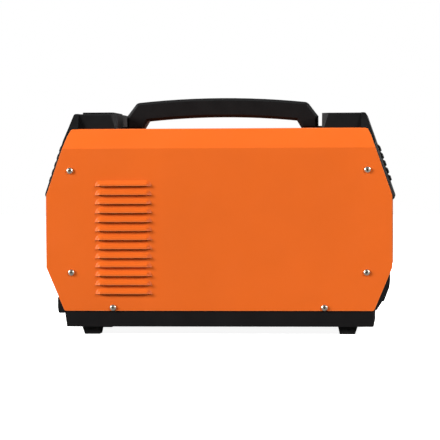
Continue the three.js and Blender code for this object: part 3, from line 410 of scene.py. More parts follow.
def smoked_lens(name, colour):
    """A dark clear window with faint smears."""
    lens = Finish(name, specular=0.6, coat=1.0, coat_roughness=0.03)
    smear = lens.noise(50, 5, 0.6, lens.stretched((1, 1, 4)))
    lens.colour(lens.mix(lens.spread(smear, 0, 1), tone(colour, 0.8), tone(colour, 1.3)))
    lens.roughness(lens.spread(smear, 0.06, 0.2))
    return lens.material


def printed_ink(name, colour):
    """Screen-printed ink, slightly uneven; the same flat matt paint also serves as painted shade in
    the screws' cross recesses.
    """
    ink_and_shade = Finish(name, specular=0.3)
    cover = ink_and_shade.spread(ink_and_shade.noise(900, 3), 0, 1)
    ink_and_shade.colour(ink_and_shade.mix(cover, tone(colour, 0.85), colour))
    ink_and_shade.roughness(ink_and_shade.spread(ink_and_shade.noise(300), 0.5, 0.7))
    return ink_and_shade.material


def glowing(name, colour, strength):
    """A lit part: light comes off it a little unevenly."""
    lamp = Finish(name)
    haze = lamp.spread(lamp.noise(700, 2), 0, 1)
    lamp.colour(lamp.mix(haze, tone(colour, 0.8), colour))
    lamp.set(Emission_Color=(*colour, 1), Emission_Strength=strength)
    lamp.roughness(lamp.spread(haze, 0.2, 0.35))
    return lamp.material


ORANGE = (0.745, 0.131, 0.0145)
# pale edge colour of the orange paint: partly edge wear, partly a painted highlight along the
# cover's hem and edges
ORANGE_EDGE_WEAR_AND_HIGHLIGHT = (0.90, 0.36, 0.15)
BLACK = (0.0045, 0.0045, 0.0048)
BLACK_COAT = (0.0055, 0.005, 0.0053)
SLEEVE = (0.010, 0.014, 0.030)
MATERIALS = {
    # the orange paint's edges go strongly towards the pale colour: a painted highlight along the
    # edges, on top of edge wear
    "orange_paint": powder_coat("orange_powder_coat", ORANGE, ORANGE_EDGE_WEAR_AND_HIGHLIGHT, 0.42, 0.85),
    "black_paint": powder_coat("black_powder_coat", BLACK_COAT, (0.04, 0.04, 0.04), 0.5),
    "black_plastic": moulded_plastic("black_moulding", BLACK, 0.55),
    "grey_plastic": moulded_plastic("grey_fascia", (0.045, 0.047, 0.05), 0.5, 2200, 0.00003),
    "rubber": rubber("foot_rubber", (0.010, 0.010, 0.010)),
    "zinc_steel": plated_steel("zinc_plate", (0.76, 0.71, 0.61), 0.3),
    "brass": turned_metal("turned_brass", (0.71, 0.50, 0.19), 0.24, (0.32, 0.19, 0.07)),
    "copper": turned_metal("bare_copper", (0.78, 0.36, 0.22), 0.28, (0.30, 0.12, 0.07)),
    "aluminium": extruded_aluminium("extruded_aluminium", (0.78, 0.79, 0.80)),
    "circuit_board": circuit_board("solder_mask", (0.012, 0.085, 0.03), (0.75, 0.72, 0.66)),
    "ferrite": ferrite("sintered_ferrite", (0.035, 0.034, 0.032)),
    "display_lens": smoked_lens("smoked_window", (0.030, 0.004, 0.005)),
    "red_plastic": moulded_plastic("red_switch", (0.50, 0.012, 0.010), 0.3, 600, 0.00001, coat=0.4),
    "hose": moulded_plastic("hose_rubber", (0.016, 0.024, 0.042), 0.45, 700, 0.00004),
    "capacitor_sleeve": moulded_plastic("shrink_sleeve", SLEEVE, 0.3, 300, 0.00003, coat=0.3),
}
# the second colour is the wire's colour darkened: painted shade in the grooves between turns
WIRE = wound_wire("enamelled_wire", (0.62, 0.22, 0.09), (0.10, 0.03, 0.015), 1.8)
WHITE_INK = printed_ink("white_ink", (0.78, 0.78, 0.76))
# near-black painted shade for the floor of the screws' cross recesses, where the plated metal is
# only in shade
RECESS_SHADE = printed_ink("painted_recess_shade", (0.006, 0.006, 0.006))
RED_GLOW = glowing("red_segments", (1.0, 0.03, 0.01), 2.2)
GREEN_LAMP = glowing("green_lamp", (0.05, 0.75, 0.10), 0.9)
AMBER_LAMP = glowing("amber_lamp", (0.85, 0.35, 0.02), 0.25)


# ---- mesh helpers


def mesh_object(name, points, faces, material):
    """A new smooth-shaded object from points in millimetres."""
    mesh = bpy.data.meshes.new(name)
    mesh.from_pydata([tuple(c * MM for c in point) for point in points], [], faces)
    mesh.validate()
    mesh.shade_smooth()
    mesh.materials.append(material)
    return placed(name, mesh)


def add_modifier(thing, kind, **settings):
    modifier = thing.modifiers.new(kind.lower(), kind)
    for name, value in settings.items():
        setattr(modifier, name, value)


def flat_shaded(thing, **settings):
    """Shades by the larger faces, so that flats look flat and corners round."""
    add_modifier(thing, "WEIGHTED_NORMAL", keep_sharp=True, **settings)


def bevelled(thing, width, segments, angle):
    """Rounds the edges sharper than an angle, and shades the flats flat."""
    add_modifier(
        thing,
        "BEVEL",
        width=width * MM,
        segments=segments,
        limit_method="ANGLE",
        angle_limit=radians(angle),
        miter_outer="MITER_PATCH",
    )
    flat_shaded(thing, weight=80)


def refined(name, width, segments, angle):
    """A CAD node with its flat facets joined and its edges rounded."""
    node = NODES[name]
    node.data.shade_smooth()
    add_modifier(node, "WELD", merge_threshold=0.00002)
    add_modifier(node, "DECIMATE", decimate_type="DISSOLVE", angle_limit=radians(0.8))
    bevelled(node, width, segments, angle)


def stand_for(piece, *nodes):
    """The piece takes the place and body of CAD nodes, which are hidden."""
    REPLACED.update(nodes)
    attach(piece, NODES[nodes[0]]["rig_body"])
    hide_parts(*nodes)


def belongs(piece, body="case"):
    """The piece is extra detail that moves with a body."""
    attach(piece, body)


def filleted(corners, steps):
    """An open outline with its corners rounded; corners are (a, b) or (a, b, radius)."""
    points = []
    for i, corner in enumerate(corners):
        radius = corner[2] if len(corner) > 2 else 0
        if radius == 0 or i in (0, len(corners) - 1):
            points.append(tuple(corner[:2]))
            continue
        here = Vector(corner[:2])
        back = (Vector(corners[i - 1][:2]) - here).normalized()
        ahead = (Vector(corners[i + 1][:2]) - here).normalized()
        half = back.angle(ahead) / 2
        centre = here + (back + ahead).normalized() * radius / sin(half)
        start = here + back * radius / tan(half) - centre
        end = here + ahead * radius / tan(half) - centre
        sweep = start.angle_signed(end)
        for k in range(steps + 1):
            turn = Matrix.Rotation(-sweep * k / steps, 2)
            points.append(tuple(centre + turn @ start))
    return points


def turned(name, corners, centre, material, segments, facing=1, flute=None):
    """A closed turned body about a line along X. corners are (radius, along) from the
    line at one end to the line at the other, or a closed loop; along grows outward
    from the case in the direction facing (+1 front, -1 rear). flute(along, angle) may
    return a factor for the radius."""
    loop = corners[0][0] > 0
    outline = filleted(corners + [corners[0]], 3)[:-1] if loop else filleted(corners, 3)
    y, z = centre
    points = []
    rings = []
    for radius, along in outline:
        if radius < 1e-6:
            rings.append([len(points)])
            points.append((facing * along, y, z))
            continue
        rings.append(list(range(len(points), len(points) + segments)))
        for k in range(segments):
            angle = 2 * pi * k / segments
            reach = radius * (flute(along, angle) if flute else 1)
            spot = (y + reach * cos(angle), z + reach * sin(angle))
            points.append((facing * along, *spot))
    faces = []
    for first, second in zip(rings, rings[1:] + rings[:1] if loop else rings[1:]):
        for k in range(segments):
            steps = ((first, 0), (first, 1), (second, 1), (second, 0))
            quad = list(dict.fromkeys(ring[(k + step) % len(ring)] for ring, step in steps))
            if len(quad) > 2:
                faces.append(quad)
    return solid(name, points, faces, material)


def solid(name, points, faces, material):
    """A closed object with all its faces turned outward."""
    thing = mesh_object(name, points, faces, material)
    shape = bmesh.new()
    shape.from_mesh(thing.data)
    bmesh.ops.recalc_face_normals(shape, faces=shape.faces)
    shape.to_mesh(thing.data)
    shape.free()
    return thing


def prism(count):
    """Faces of a prism whose two ends have count points each."""
    faces = [list(range(count)), list(range(2 * count - 1, count - 1, -1))]
    for k in range(count):
        after = (k + 1) % count
        faces.append([k, after, count + after, count + k])
    return faces


def slab(name, outline, low, high, material):
    """An outline of (y, z) extruded along X, from low to high."""
    points = [(x, y, z) for x in (low, high) for y, z in outline]
    return solid(name, points, prism(len(outline)), material)


def joined(name, parts):
    """Several new objects as one; each keeps its own material."""
    first = parts[0]
    with bpy.context.temp_override(
        active_object=first, object=first, selected_objects=parts, selected_editable_objects=parts
    ):
        bpy.ops.object.join()
    first.name = name
    first.data.name = name
    return first


def made_real(thing):
    """A new mesh of an object with its modifiers, or of a line of type."""
    bpy.context.view_layer.update()
    graph = bpy.context.evaluated_depsgraph_get()
    return bpy.data.meshes.new_from_object(thing.evaluated_get(graph))


def applied(thing):
    mesh = made_real(thing)
    thing.modifiers.clear()
    thing.data = mesh
    return thing


def carved(thing, *tools):
    """Cuts the tools out of the object for good, and removes them."""
    for tool in tools:
        add_modifier(thing, "BOOLEAN", operation="DIFFERENCE", object=tool, solver="EXACT")
        applied(thing)
        bpy.data.objects.remove(tool)


def around(centre, radius, turn):
    """A point on a circle about (y, z), a turn of so many degrees from +Y towards +Z."""
    angle = radians(turn)
    return centre[0] + radius * cos(angle), centre[1] + radius * sin(angle)


def rounded_rectangle(a, b, half_a, half_b, radius, steps=5):
    """A closed outline with round corners about (a, b)."""
    points = []
    for sign_a, sign_b, start in ((1, 1, 0), (-1, 1, 90), (-1, -1, 180), (1, -1, 270)):
        corner = (a + sign_a * (half_a - radius), b + sign_b * (half_b - radius))
        points += [around(corner, radius, start + 90 * k / steps) for k in range(steps + 1)]
    return points


def hexagon(y, z, across):
    """A closed outline about (y, z); across is measured over the flats."""
    return [around((y, z), across / sqrt(3), 60 * k) for k in range(6)]


def clamped(value):
    return min(max(value, 0.0), 1.0)


def smooth_step(value):
    share = clamped(value)
    return share * share * (3 - 2 * share)


REPLACED = set()  # CAD nodes that a piece stands for
SLOT_OF = {row["node"]: row["material_slot"] for row in frame["record"]["subparts"]}
PLASTIC = MATERIALS["black_plastic"]
ZINC = MATERIALS["zinc_steel"]
BRASS = MATERIALS["brass"]


# ---- the cover

COVER_SHEET = 1.2
COVER_HALF_WIDTH = 80
COVER_CORNERS = [
    (0, 29),
    (187.7, 29, 3),
    (210, 81.5, 3),
    (210, 168.3, 3),
    (190, 226),
    (181.7, 250, 7),
    (0, 250),
]
COVER_SECTION = [(80, 29), (80, 226, 3), (66, 250, 3), (0, 250)]
LOUVRE_COUNT = 13
LOUVRE_FIRST_LIP = 180.6
LOUVRE_PITCH = 10.92
LOUVRE_HEIGHT = 6.8
LOUVRE_PROUD = 4.4
LOUVRE_FROM, LOUVRE_TO = -149.9, -80.6
LOUVRE_TAPER = 3.0  # how much narrower a hood is at its top, at each end
LOUVRE_END = 5.2  # length of the sloping end of a hood
LOUVRE_SLOT = 0.3  # how far the sheet stops below a hood's lip
LOUVRE_TURN_IN = 0.9  # the sheet's edge below the lip is turned in by this much
LOUVRE_FOOT = 1.3  # from a hood's lip down to where the sheet is flat again
LIPS = [LOUVRE_FIRST_LIP - i * LOUVRE_PITCH for i in range(LOUVRE_COUNT)]


def louvre_height(x, z):
    """How far the sheet stands out at a point of the side."""
    for lip in LIPS:
        up = (z - lip) / LOUVRE_HEIGHT
        if -1e-6 <= up < 1:
            inset = LOUVRE_TAPER * up
            along = min(x - LOUVRE_FROM - inset, LOUVRE_TO - inset - x)
            ends = clamped(1.1 * along / LOUVRE_END)
            fall = 0.4 * smooth_step((up - 0.3) / 0.7) + 0.6 * clamped((up - 0.36) / 0.6)
            return LOUVRE_PROUD * ends * (1 - fall)
        if abs(z - lip + LOUVRE_SLOT) < 0.01:
            along = min(x - LOUVRE_FROM, LOUVRE_TO - x)
            return -LOUVRE_TURN_IN * smooth_step(along / 2)
    return 0.0


def cover_half_length(z):
    """Half the cover's length at a height, along its rounded end outline."""
    outline = filleted(COVER_CORNERS, 6)[1:-1]
    for (x0, z0), (x1, z1) in zip(outline, outline[1:]):
        if z0 <= z <= z1 and z1 > z0:
            return x0 + (x1 - x0) * (z - z0) / (z1 - z0)
    return outline[0][0] if z < outline[0][1] else outline[-1][0]


def cover_rows():
    """Stations round the section, (y, z), from one bottom edge over the top to the other."""
    side = {round(z, 3) for _, z in filleted(COVER_CORNERS, 6) if z < 220}
    side |= {40.0, 60.0, 70.0, 100.0, 120.0, 140.0, 155.0, 195.0, 205.0, 215.0}
    steps = (0, 0.08, 0.2, 0.3, 0.36, 0.42, 0.5, 0.6, 0.7, 0.8, 0.88, 0.96, 1.0)
    for lip in LIPS:
        side |= {round(lip + step * LOUVRE_HEIGHT, 3) for step in steps}
        side |= {round(lip - LOUVRE_SLOT, 3), round(lip - LOUVRE_FOOT, 3)}
    heights = []
    for z in sorted(side):
        if not heights or z - heights[-1] > 0.12:
            heights.append(z)
    half = [(COVER_HALF_WIDTH, z) for z in heights]
    for point in filleted(COVER_SECTION, 6)[1:-1]:
        start, end = Vector(half[-1]), Vector(point)
        if (end - start).length > 12:
            half += [tuple(start.lerp(end, k / 3)) for k in (1, 2)]
        half.append(point)
    half += [(y, 250) for y in (50, 30, 10)]
    return [(-y, z) for y, z in half] + half[::-1]


def cover_columns():
    """Stations along the case: (share of the half length, offset)."""
    ends = (0.7, 1.5, 2.4, 3.4, 4.5, 5.7, 7.0, 8.6, 10.6)
    inner = [LOUVRE_FROM, LOUVRE_TO]
    inner += [LOUVRE_FROM + step for step in ends] + [LOUVRE_TO - step for step in ends]
    inner += [-132 + 6 * k for k in range(6)]
    inner += [-168, -158, -72, -50, -25, 0, 25, 50, 75, 100, 125, 150, 168]
    middle = [(0, x) for x in sorted(inner)]
    return [(-1, 0), (-1, 1.5), (-1, 6), *middle, (1, -6), (1, -1.5), (1, 0)]


def mark_cover_edges(cover, rows, width):
    """Weights the outer edges all round the sheet for a bevel, and sharpens the others."""
    shape = bmesh.new()
    shape.from_mesh(cover.data)
    weight = shape.edges.layers.float.new("bevel_weight_edge")
    for edge in shape.edges:
        places = [divmod(corner.index, width) for corner in edge.verts]
        outer = all(row < rows for row, _ in places)
        along_end = any(all(column == end for _, column in places) for end in (0, width - 1))
        along_foot = any(all(row == foot for row, _ in places) for foot in (0, rows - 1))
        if outer and (along_end or along_foot):
            edge[weight] = 1.0
        elif len(edge.link_faces) == 2 and edge.calc_face_angle() > radians(50):
            edge.smooth = False
    shape.to_mesh(cover.data)
    shape.free()


def on_side(y):
    return abs(abs(y) - COVER_HALF_WIDTH) < 1e-6


def make_cover():
    rows = cover_rows()
    columns = cover_columns()
    points = []
    for y, z in rows:
        reach = cover_half_length(z)
        for share, shift in columns:
            x = share * reach + shift
            out = louvre_height(x, z) if on_side(y) else 0.0
            points.append((x, copysign(abs(y) + out, y), z))
    width = len(columns)
    faces = []
    for r in range(len(rows) - 1):
        (y0, z0), (y1, z1) = rows[r], rows[r + 1]
        low = min(z0, z1)
        below_lip = any(abs(low - (lip - LOUVRE_SLOT)) < 0.01 for lip in LIPS)
        slot = below_lip and on_side(y0) and on_side(y1)
        for c in range(width - 1):
            share, x0 = columns[c]
            if not (slot and share == 0 and LOUVRE_FROM - 0.01 < x0 < LOUVRE_TO - 0.01):
                a = r * width + c
                faces.append([a, a + 1, a + width + 1, a + width])
    cover = mesh_object("cover_shell", points, faces, MATERIALS["orange_paint"])
    add_modifier(cover, "SOLIDIFY", thickness=COVER_SHEET * MM, offset=-1, use_even_offset=True)
    applied(cover)
    mark_cover_edges(cover, len(rows), width)
    add_modifier(cover, "BEVEL", limit_method="WEIGHT", width=0.6 * MM, segments=3)
    flat_shaded(cover, weight=80)
    stand_for(cover, "cover")


# ---- screws

HEAD_HEIGHT = 2.4
HEAD = [(0, HEAD_HEIGHT), (1.5, 2.38), (2.7, 2.1, 0.8), (3.6, 1.45, 1.0), (4.0, 0.6, 0.6)]
LONG_SHANK = [(4.0, 0.1), (2, 0), (2, -8), (0, -8)]
NO_SHANK = [(4.0, 0), (0, 0)]
RECESS_DEPTH = 1.5


def cross_cutter():
    """Two tapered bars for a cross recess in a screw's head, pointing along X."""
    bar = ((HEAD_HEIGHT + 0.5, 2.3, 0.52), (HEAD_HEIGHT - RECESS_DEPTH, 2.3 * 0.35, 0.52 * 0.55))
    signs = ((1, 1), (-1, 1), (-1, -1), (1, -1))
    upright = [(x, i * a, j * b) for x, a, b in bar for i, j in signs]
    level = [(x, b, a) for x, a, b in upright]
    # the cutters carry the painted recess shade
    return [solid("cross", points, prism(4), RECESS_SHADE) for points in (upright, level)]


def cover_screw():
    """A pan head with a cross recess, pointing along +X from its seat at 0."""
    screw = turned("screw", HEAD + LONG_SHANK, (0, 0), ZINC, 40)
    # slot 1 is the near-black painted shade for the faces inside the cross recess
    screw.data.materials.append(RECESS_SHADE)
    carved(screw, *cross_cutter())
    for polygon in screw.data.polygons:
        polygon.use_smooth = True
        centre = polygon.center / MM
        inside = hypot(centre.y, centre.z) < 2.2 and 0.7 < centre.x < 1.15
        polygon.material_index = 1 if inside else 0
    bevelled(screw, 0.1, 2, 35)
    return applied(screw)


def small_screw():
    """The same head without its shank."""
    screw = turned("small_screw", HEAD + NO_SHANK, (0, 0), ZINC, 32)
    carved(screw, *cross_cutter())
    bevelled(screw, 0.1, 1, 35)
    return applied(screw)


def screw_spin():
    """How far a screw happens to be turned."""
    return Matrix.Rotation(RANDOM.uniform(0, pi / 2), 4, "X")


def screw_at(name, place, facing, size):
    """A small cross-head screw at a place in millimetres, facing along X."""
    head = placed(name, SMALL_SCREW.data)
    face = Matrix.Rotation(0 if facing > 0 else pi, 4, "Z")
    spot = Matrix.Translation(Vector(place) * MM)
    head.matrix_world = spot @ face @ screw_spin() @ Matrix.Scale(size, 4)
    belongs(head)


def make_cover_screws():
    master = cover_screw()
    for name in sorted(name for name in NODES if name.startswith("cover_screw_")):
        low, high = node_box(name)
        centre = (low + high) / 2
        side = copysign(1, centre.y)
        centre.y = high.y - HEAD_HEIGHT if side > 0 else low.y + HEAD_HEIGHT
        screw = placed(name.replace("cover_", "pan_head_"), master.data)
        face = Matrix.Rotation(side * pi / 2, 4, "Z")
        screw.matrix_world = Matrix.Translation(centre * MM) @ face @ screw_spin()
        stand_for(screw, name)
    bpy.data.objects.remove(master)


# ---- front: knobs, sockets, fittings and print

PANEL_FACE = node_box("front_panel")[1].x
SEAT = PANEL_FACE + 0.3
DIAL_SWEEP = 300
DIAL_START = 240  # where a knob's scale begins, in degrees from +Y towards +Z
TEXT_TO_PANEL = Matrix(((0, 0, 1, 0), (1, 0, 0, 0), (0, 1, 0, 0), (0, 0, 0, 1)))


def centre_line(node):
    """Where the line through a node's middle, along X, crosses the panel: (y, z)."""
    low, high = node_box(node)
    return tuple((low + high) / 2)[1:]


def printed(name, outline, low=-0.1, high=0.12):
    """A mark on the front panel's face."""
    return slab(name, outline, PANEL_FACE + low, PANEL_FACE + high, WHITE_INK)


def make_knob(node, radius, length, flutes):
    place = centre_line(node)
    back = PANEL_FACE + 0.8
    grip = radius * 0.8
    corners = [
        (0, back),
        (radius, back, 0.3),
        (radius, back + 2, 0.6),
        (grip + 0.6, back + 3.2, 0.8),
        (grip, back + 4.5),
        (grip * 0.985, back + 7),
        (grip * 0.97, back + length * 0.75),
        (grip * 0.94, back + length - 1.2, 0.8),
        (grip * 0.7, back + length - 0.6, 1.5),
        (grip * 0.55, back + length - 1.1, 1.5),
        (0, back + length - 1.1),
    ]

    def flute(along, angle):
        start = smooth_step((along - back - 3) / 2)
        stop = smooth_step((back + length - 0.9 - along) / 1.5)
        return 1 - 0.045 * start * stop * (0.5 - 0.5 * cos(flutes * angle)) ** 2

    knob = turned(node + "_cap", corners, place, PLASTIC, 144, flute=flute)
    flat_shaded(knob)
    stand_for(knob, node)
    front = back + length - 1.15
    bar = (grip * 0.055, grip * 0.3, grip * 0.05)
    outline = rounded_rectangle(place[0], place[1] + grip * 0.66, *bar)
    belongs(slab(node + "_pointer", outline, front - 0.6, front + 0.62, WHITE_INK), node)


def make_socket(name, bars):
    """A welding socket: moulded body, brass sleeve with a keyway, screws and its sign."""
    place = centre_line(name + "_socket_body")
    corners = [
        (8.5, PANEL_FACE - 14),
        (13, PANEL_FACE - 14, 0.5),
        (13, SEAT),
        (17, SEAT, 0.3),
        (17, SEAT + 3.6, 1.2),
        (14.6, SEAT + 5.2, 1.0),
        (13.6, SEAT + 6.4, 0.8),
        (13, SEAT + 13, 0.6),
        (12.2, SEAT + 14, 0.5),
        (9.2, SEAT + 14, 0.5),
        (8.5, SEAT + 13),
    ]

    def flute(along, angle):
        if not SEAT + 7 < along < SEAT + 13.5:
            return 1
        return 1 - 0.02 * (0.5 + 0.5 * cos(16 * angle))

    body = turned(name + "_socket_moulding", corners, place, PLASTIC, 96, flute=flute)
    flat_shaded(body)
    stand_for(body, name + "_socket_body")
    stub_end = node_box(name + "_socket_insert")[0].x
    floor = PANEL_FACE - 2 - 14
    mouth = SEAT + 12
    corners = [
        (0, stub_end),
        (4, stub_end, 0.5),
        (4, floor - 3),
        (8.2, floor - 3, 0.4),
        (8.2, mouth, 0.3),
        (7.2, mouth, 0.3),
        (6.5, mouth - 0.8, 0.3),
        (6.5, floor + 2),
        (0, floor + 2),
    ]
    insert = turned(name + "_socket_sleeve", corners, place, BRASS, 72)
    keyway = rounded_rectangle(place[0], place[1] + 5.9, 1.6, 1.8, 0.4)
    carved(insert, slab("key", keyway, mouth - 5, mouth + 1, BRASS))
    bevelled(insert, 0.15, 2, 40)
    stand_for(insert, name + "_socket_insert")
    outboard = place[0] + copysign(14.5, place[0])
    for i, (half_y, half_z) in enumerate(bars):
        outline = rounded_rectangle(outboard, place[1] + 20.5, half_y, half_z, 0.5)
        belongs(printed(f"{name}_sign_{i + 1}", outline, -0.1 + 0.02 * i, 0.15 + 0.02 * i))
    for side in (-1, 1):
        spot = (SEAT + 3.2, place[0] + 11.6 * side, place[1] - 11.6 * side)
        screw_at(f"{name}_flange_screw_{side + 2}", spot, 1, 0.42)


def make_torch_socket():
    node = "torch_control_socket"
    place = centre_line(node)

    def thread(along, angle):
        if not SEAT + 3.2 < along < SEAT + 8.6:
            return 1
        return 1 - 0.03 * (0.5 + 0.5 * cos(2 * pi * along - angle))

    corners = [
        (0, PANEL_FACE - 12),
        (6.5, PANEL_FACE - 12, 0.4),
        (6.5, SEAT),
        (8.8, SEAT, 0.2),
        (8.8, SEAT + 2.5, 0.4),
        (7.6, SEAT + 2.9),
        *[(7.6, SEAT + 3 + 0.25 * k) for k in range(1, 24)],
        (7.5, SEAT + 9, 0.2),
        (6.5, SEAT + 9, 0.2),
        (6.4, SEAT + 1),
        (0, SEAT + 1),
    ]
    shell = turned("torch_socket_shell", corners, place, ZINC, 72, flute=thread)
    flat_shaded(shell)
    stand_for(shell, node)
    core = [(0, SEAT + 1), (6.1, SEAT + 1), (6.1, SEAT + 3, 0.3), (0, SEAT + 3)]
    belongs(turned("torch_socket_insulator", core, place, PLASTIC, 48))
    rod = [(0, SEAT + 2.8), (0.7, SEAT + 2.8), (0.7, SEAT + 7.4, 0.5), (0, SEAT + 7.4)]
    for k in range(5):
        spot = around(place, 3.7, 90 + 72 * k)
        belongs(turned(f"torch_socket_pin_{k + 1}", rod, spot, BRASS, 16))


def make_hose_tail(node, name, facing, across, bore, tail):
    """A hexagon nut with a hose tail; tail is a list of corners beyond the nut."""
    low, high = node_box(node)
    place = centre_line(node)
    inner = min(abs(low.x), abs(high.x))
    corners = [(bore, inner), (tail[0][0], inner, 0.3), *tail, (bore, tail[-1][1])]
    body = turned(name, corners, place, BRASS, 64, facing)
    nut = slab(name + "_nut", hexagon(*place, across), facing * SEAT, facing * (SEAT + 5), BRASS)
    bevelled(nut, 0.45, 3, 25)
    applied(nut)
    whole = joined(name, [body, nut])
    bevelled(whole, 0.08, 1, 50)
    stand_for(whole, node)


def make_gas_outlet():
    tail = [(5, SEAT + 8, 0.4), (3.6, SEAT + 8.6), (3.6, SEAT + 9.6, 0.3)]
    tail += [(4.6, SEAT + 11, 0.4), (4.4, SEAT + 12), (3.4, SEAT + 14, 0.3)]
    make_hose_tail("gas_outlet", "gas_coupling", 1, 14, 2, tail)


def make_gas_inlet():
    tail = [(6, SEAT + 6, 0.4), (4, SEAT + 6.5, 0.2)]
    for k in range(3):
        start = SEAT + 8.5 + 4 * k
        tail += [(5, start, 0.3), (4, start + 2.8, 0.1)]
    tail += [(4, SEAT + 19.4), (3.7, SEAT + 20, 0.3)]
    make_hose_tail("gas_inlet", "gas_hose_tail", -1, 16, 2.5, tail)


def make_dial():
    """Printed scale round the current knob: ticks, and numbers at every other tick."""
    knob = centre_line("current_knob")
    inner = 17.6
    last = 10
    parts = []
    for k in range(last + 1):
        angle = radians(DIAL_START - DIAL_SWEEP * k / last)
        major = k % 2 == 0
        half_long, half_wide = (1.3, 0.28) if major else (0.75, 0.2)
        out = Vector((cos(angle), sin(angle)))
        across = Vector((-out.y, out.x)) * half_wide
        ends = (out * inner, out * (inner + 2 * half_long))
        corners = (ends[0] - across, ends[1] - across, ends[1] + across, ends[0] + across)
        outline = [(knob[0] + p.x, knob[1] + p.y) for p in corners]
        parts.append(printed(f"tick_{k}", outline))
        if major:
            parts.append(panel_text(str(k), around(knob, inner + 5.4, degrees(angle)), 3.2))
    belongs(joined("current_scale", parts))


def panel_text(words, place, size):
    """A number in plain type, lying on the front panel about (y, z)."""
    curve = bpy.data.curves.new("number", "FONT")
    curve.body = words
    curve.size = size * MM
    curve.extrude = 0.11 * MM
    curve.align_x = "CENTER"
    curve.align_y = "CENTER"
    curve.resolution_u = 3
    text = placed("number", curve)
    spot = Vector((PANEL_FACE + 0.02, *place)) * MM
    text.matrix_world = Matrix.Translation(spot) @ TEXT_TO_PANEL
    mesh = made_real(text)
    mesh.transform(text.matrix_world)
    bpy.data.objects.remove(text)
    mesh.materials.clear()
    mesh.materials.append(WHITE_INK)
    return placed("number", mesh)


# a digit's bars: (middle from the digit's left edge, middle from its centre, upright)
SEGMENT_BARS = {
    "a": (3, 6, False),
    "g": (3, 0, False),
    "d": (3, -6, False),
    "f": (0, 3, True),
    "b": (6, 3, True),
    "e": (0, -3, True),
    "c": (6, -3, True),
}
LIT_SEGMENTS = ("bc", "abged", "abcdef")  # reads 120


def make_display():
    """Seven-segment digits under the window's face."""
    low, high = node_box("display_window")
    centre = (low + high) / 2
    parts = []
    for place, lit in enumerate(LIT_SEGMENTS):
        left = centre.y - 13 + 10 * place
        for key in lit:
            y, z, upright = SEGMENT_BARS[key]
            half = (0.55, 2.4) if upright else (2.4, 0.55)
            outline = rounded_rectangle(left + y, centre.z + z, *half, 0.4, 2)
            parts.append(slab("bar", outline, high.x - 0.05, high.x + 0.06, RED_GLOW))
    belongs(joined("display_digits", parts))


def make_indicators():
    """Small lamps beside the display, each in a ring."""
    y, z = centre_line("display_window")
    face = PANEL_FACE
    dome = [(0, face - 1), (1.6, face - 1), (1.6, face + 1, 1.2), (0, face + 1.4)]
    rim = [(1.7, face - 0.2), (2.8, face - 0.2), (2.8, face + 0.5, 0.3), (1.7, face + 0.5)]
    for k, finish in enumerate((GREEN_LAMP, AMBER_LAMP)):
        spot = (y + 33, z + 5.5 - 11 * k)
        belongs(turned(f"indicator_{k + 1}", dome, spot, finish, 32))
        belongs(turned(f"indicator_ring_{k + 1}", rim, spot, PLASTIC, 32))


def make_knob_scales():
    """A wedge-shaped printed mark round each small knob, growing from low to high."""
    steps = 24
    turns = [DIAL_START - DIAL_SWEEP * k / steps for k in range(steps + 1)]
    for node in ("slope_knob", "post_gas_knob"):
        knob = centre_line(node)
        inner = [around(knob, 10.2, turn) for turn in turns]
        outer = [around(knob, 10.45 + 1.5 * k / steps, turn) for k, turn in enumerate(turns)]
        belongs(printed(node + "_scale", inner + outer[::-1]))


# ---- rear: gland, fan and guard


def make_cable_gland():
    node = "cable_gland"
    place = centre_line(node)

    def flute(along, angle):
        if not SEAT + 5 < along < SEAT + 13.2:
            return 1
        wave = (0.5 + 0.5 * cos(12 * angle)) ** 6
        return 1 - 0.09 * wave * smooth_step((SEAT + 13.2 - along) / 2)

    corners = [
        (4.5, PANEL_FACE - 11),
        (9.5, PANEL_FACE - 11, 0.4),
        (9.5, SEAT),
        (9.5, SEAT + 5),
        (11.2, SEAT + 5, 0.3),
        (11.2, SEAT + 8),
        (11.0, SEAT + 11),
        (10.6, SEAT + 13, 0.6),
        (9.2, SEAT + 15.6, 1.2),
        (6.9, SEAT + 17.5, 0.8),
        (5.1, SEAT + 17.5, 0.4),
        (4.5, SEAT + 16.8),
    ]
    body = turned("gland_cap", corners, place, PLASTIC, 144, -1, flute)
    nut = slab("gland_nut", hexagon(*place, 24), -SEAT, -(SEAT + 5), PLASTIC)
    bevelled(nut, 0.6, 3, 25)
    applied(nut)
    ring = [(4.5, SEAT + 12), (6.2, SEAT + 12), (6.2, SEAT + 17.2, 0.5), (4.6, SEAT + 17.2, 0.4)]
    seal = turned("gland_seal", ring, place, MATERIALS["rubber"], 64, -1)
    whole = joined("cable_gland_body", [body, nut])
    flat_shaded(whole)
    stand_for(whole, node)
    belongs(seal)


FAN_PLACE = centre_line("fan_frame")
FAN_TIP = 41.8
FAN_HUB = 18
FAN_BLADES = 7
BLADE_ROOT = FAN_HUB - 1.2  # the blades start a little inside the hub
BLADE_ROWS = 10
BLADE_STEPS = 12
GUARD_RINGS = 6
GUARD_WIRE = 0.72
GUARD_SCREWS = 57.98  # from the fan's middle to a screw, at 45 degrees
WIRE_SIDES = 12


def quads(rows, columns, width):
    """Faces between neighbouring rows of a grid of points, numbered row by row."""
    corners = [i * width + j for i in range(rows) for j in range(columns)]
    return [[a, a + 1, a + width + 1, a + width] for a in corners]


def blade_face(turn, low, high, face):
    """One side of a curved blade between the hub and the tip: its pitch falls off outward."""
    middle = (low + high) / 2
    chord = (high - low) - 0.8
    points = []
    for i in range(BLADE_ROWS + 1):
        radius = BLADE_ROOT + (FAN_TIP - BLADE_ROOT) * i / BLADE_ROWS
        pitch = radians(58 - 26 * i / BLADE_ROWS)
        for j in range(BLADE_STEPS + 1):
            share = j / BLADE_STEPS - 0.5
            bulge = 1 - (2 * share) ** 2
            half_thick = 0.75 * sqrt(max(bulge, 0.0)) + 0.12
            arc = share * chord / tan(pitch) * 0.92 + 1.8 * bulge + face * half_thick
            spot = around(FAN_PLACE, radius, degrees(turn + arc / radius))
            points.append((middle + share * chord, *spot))
    return points


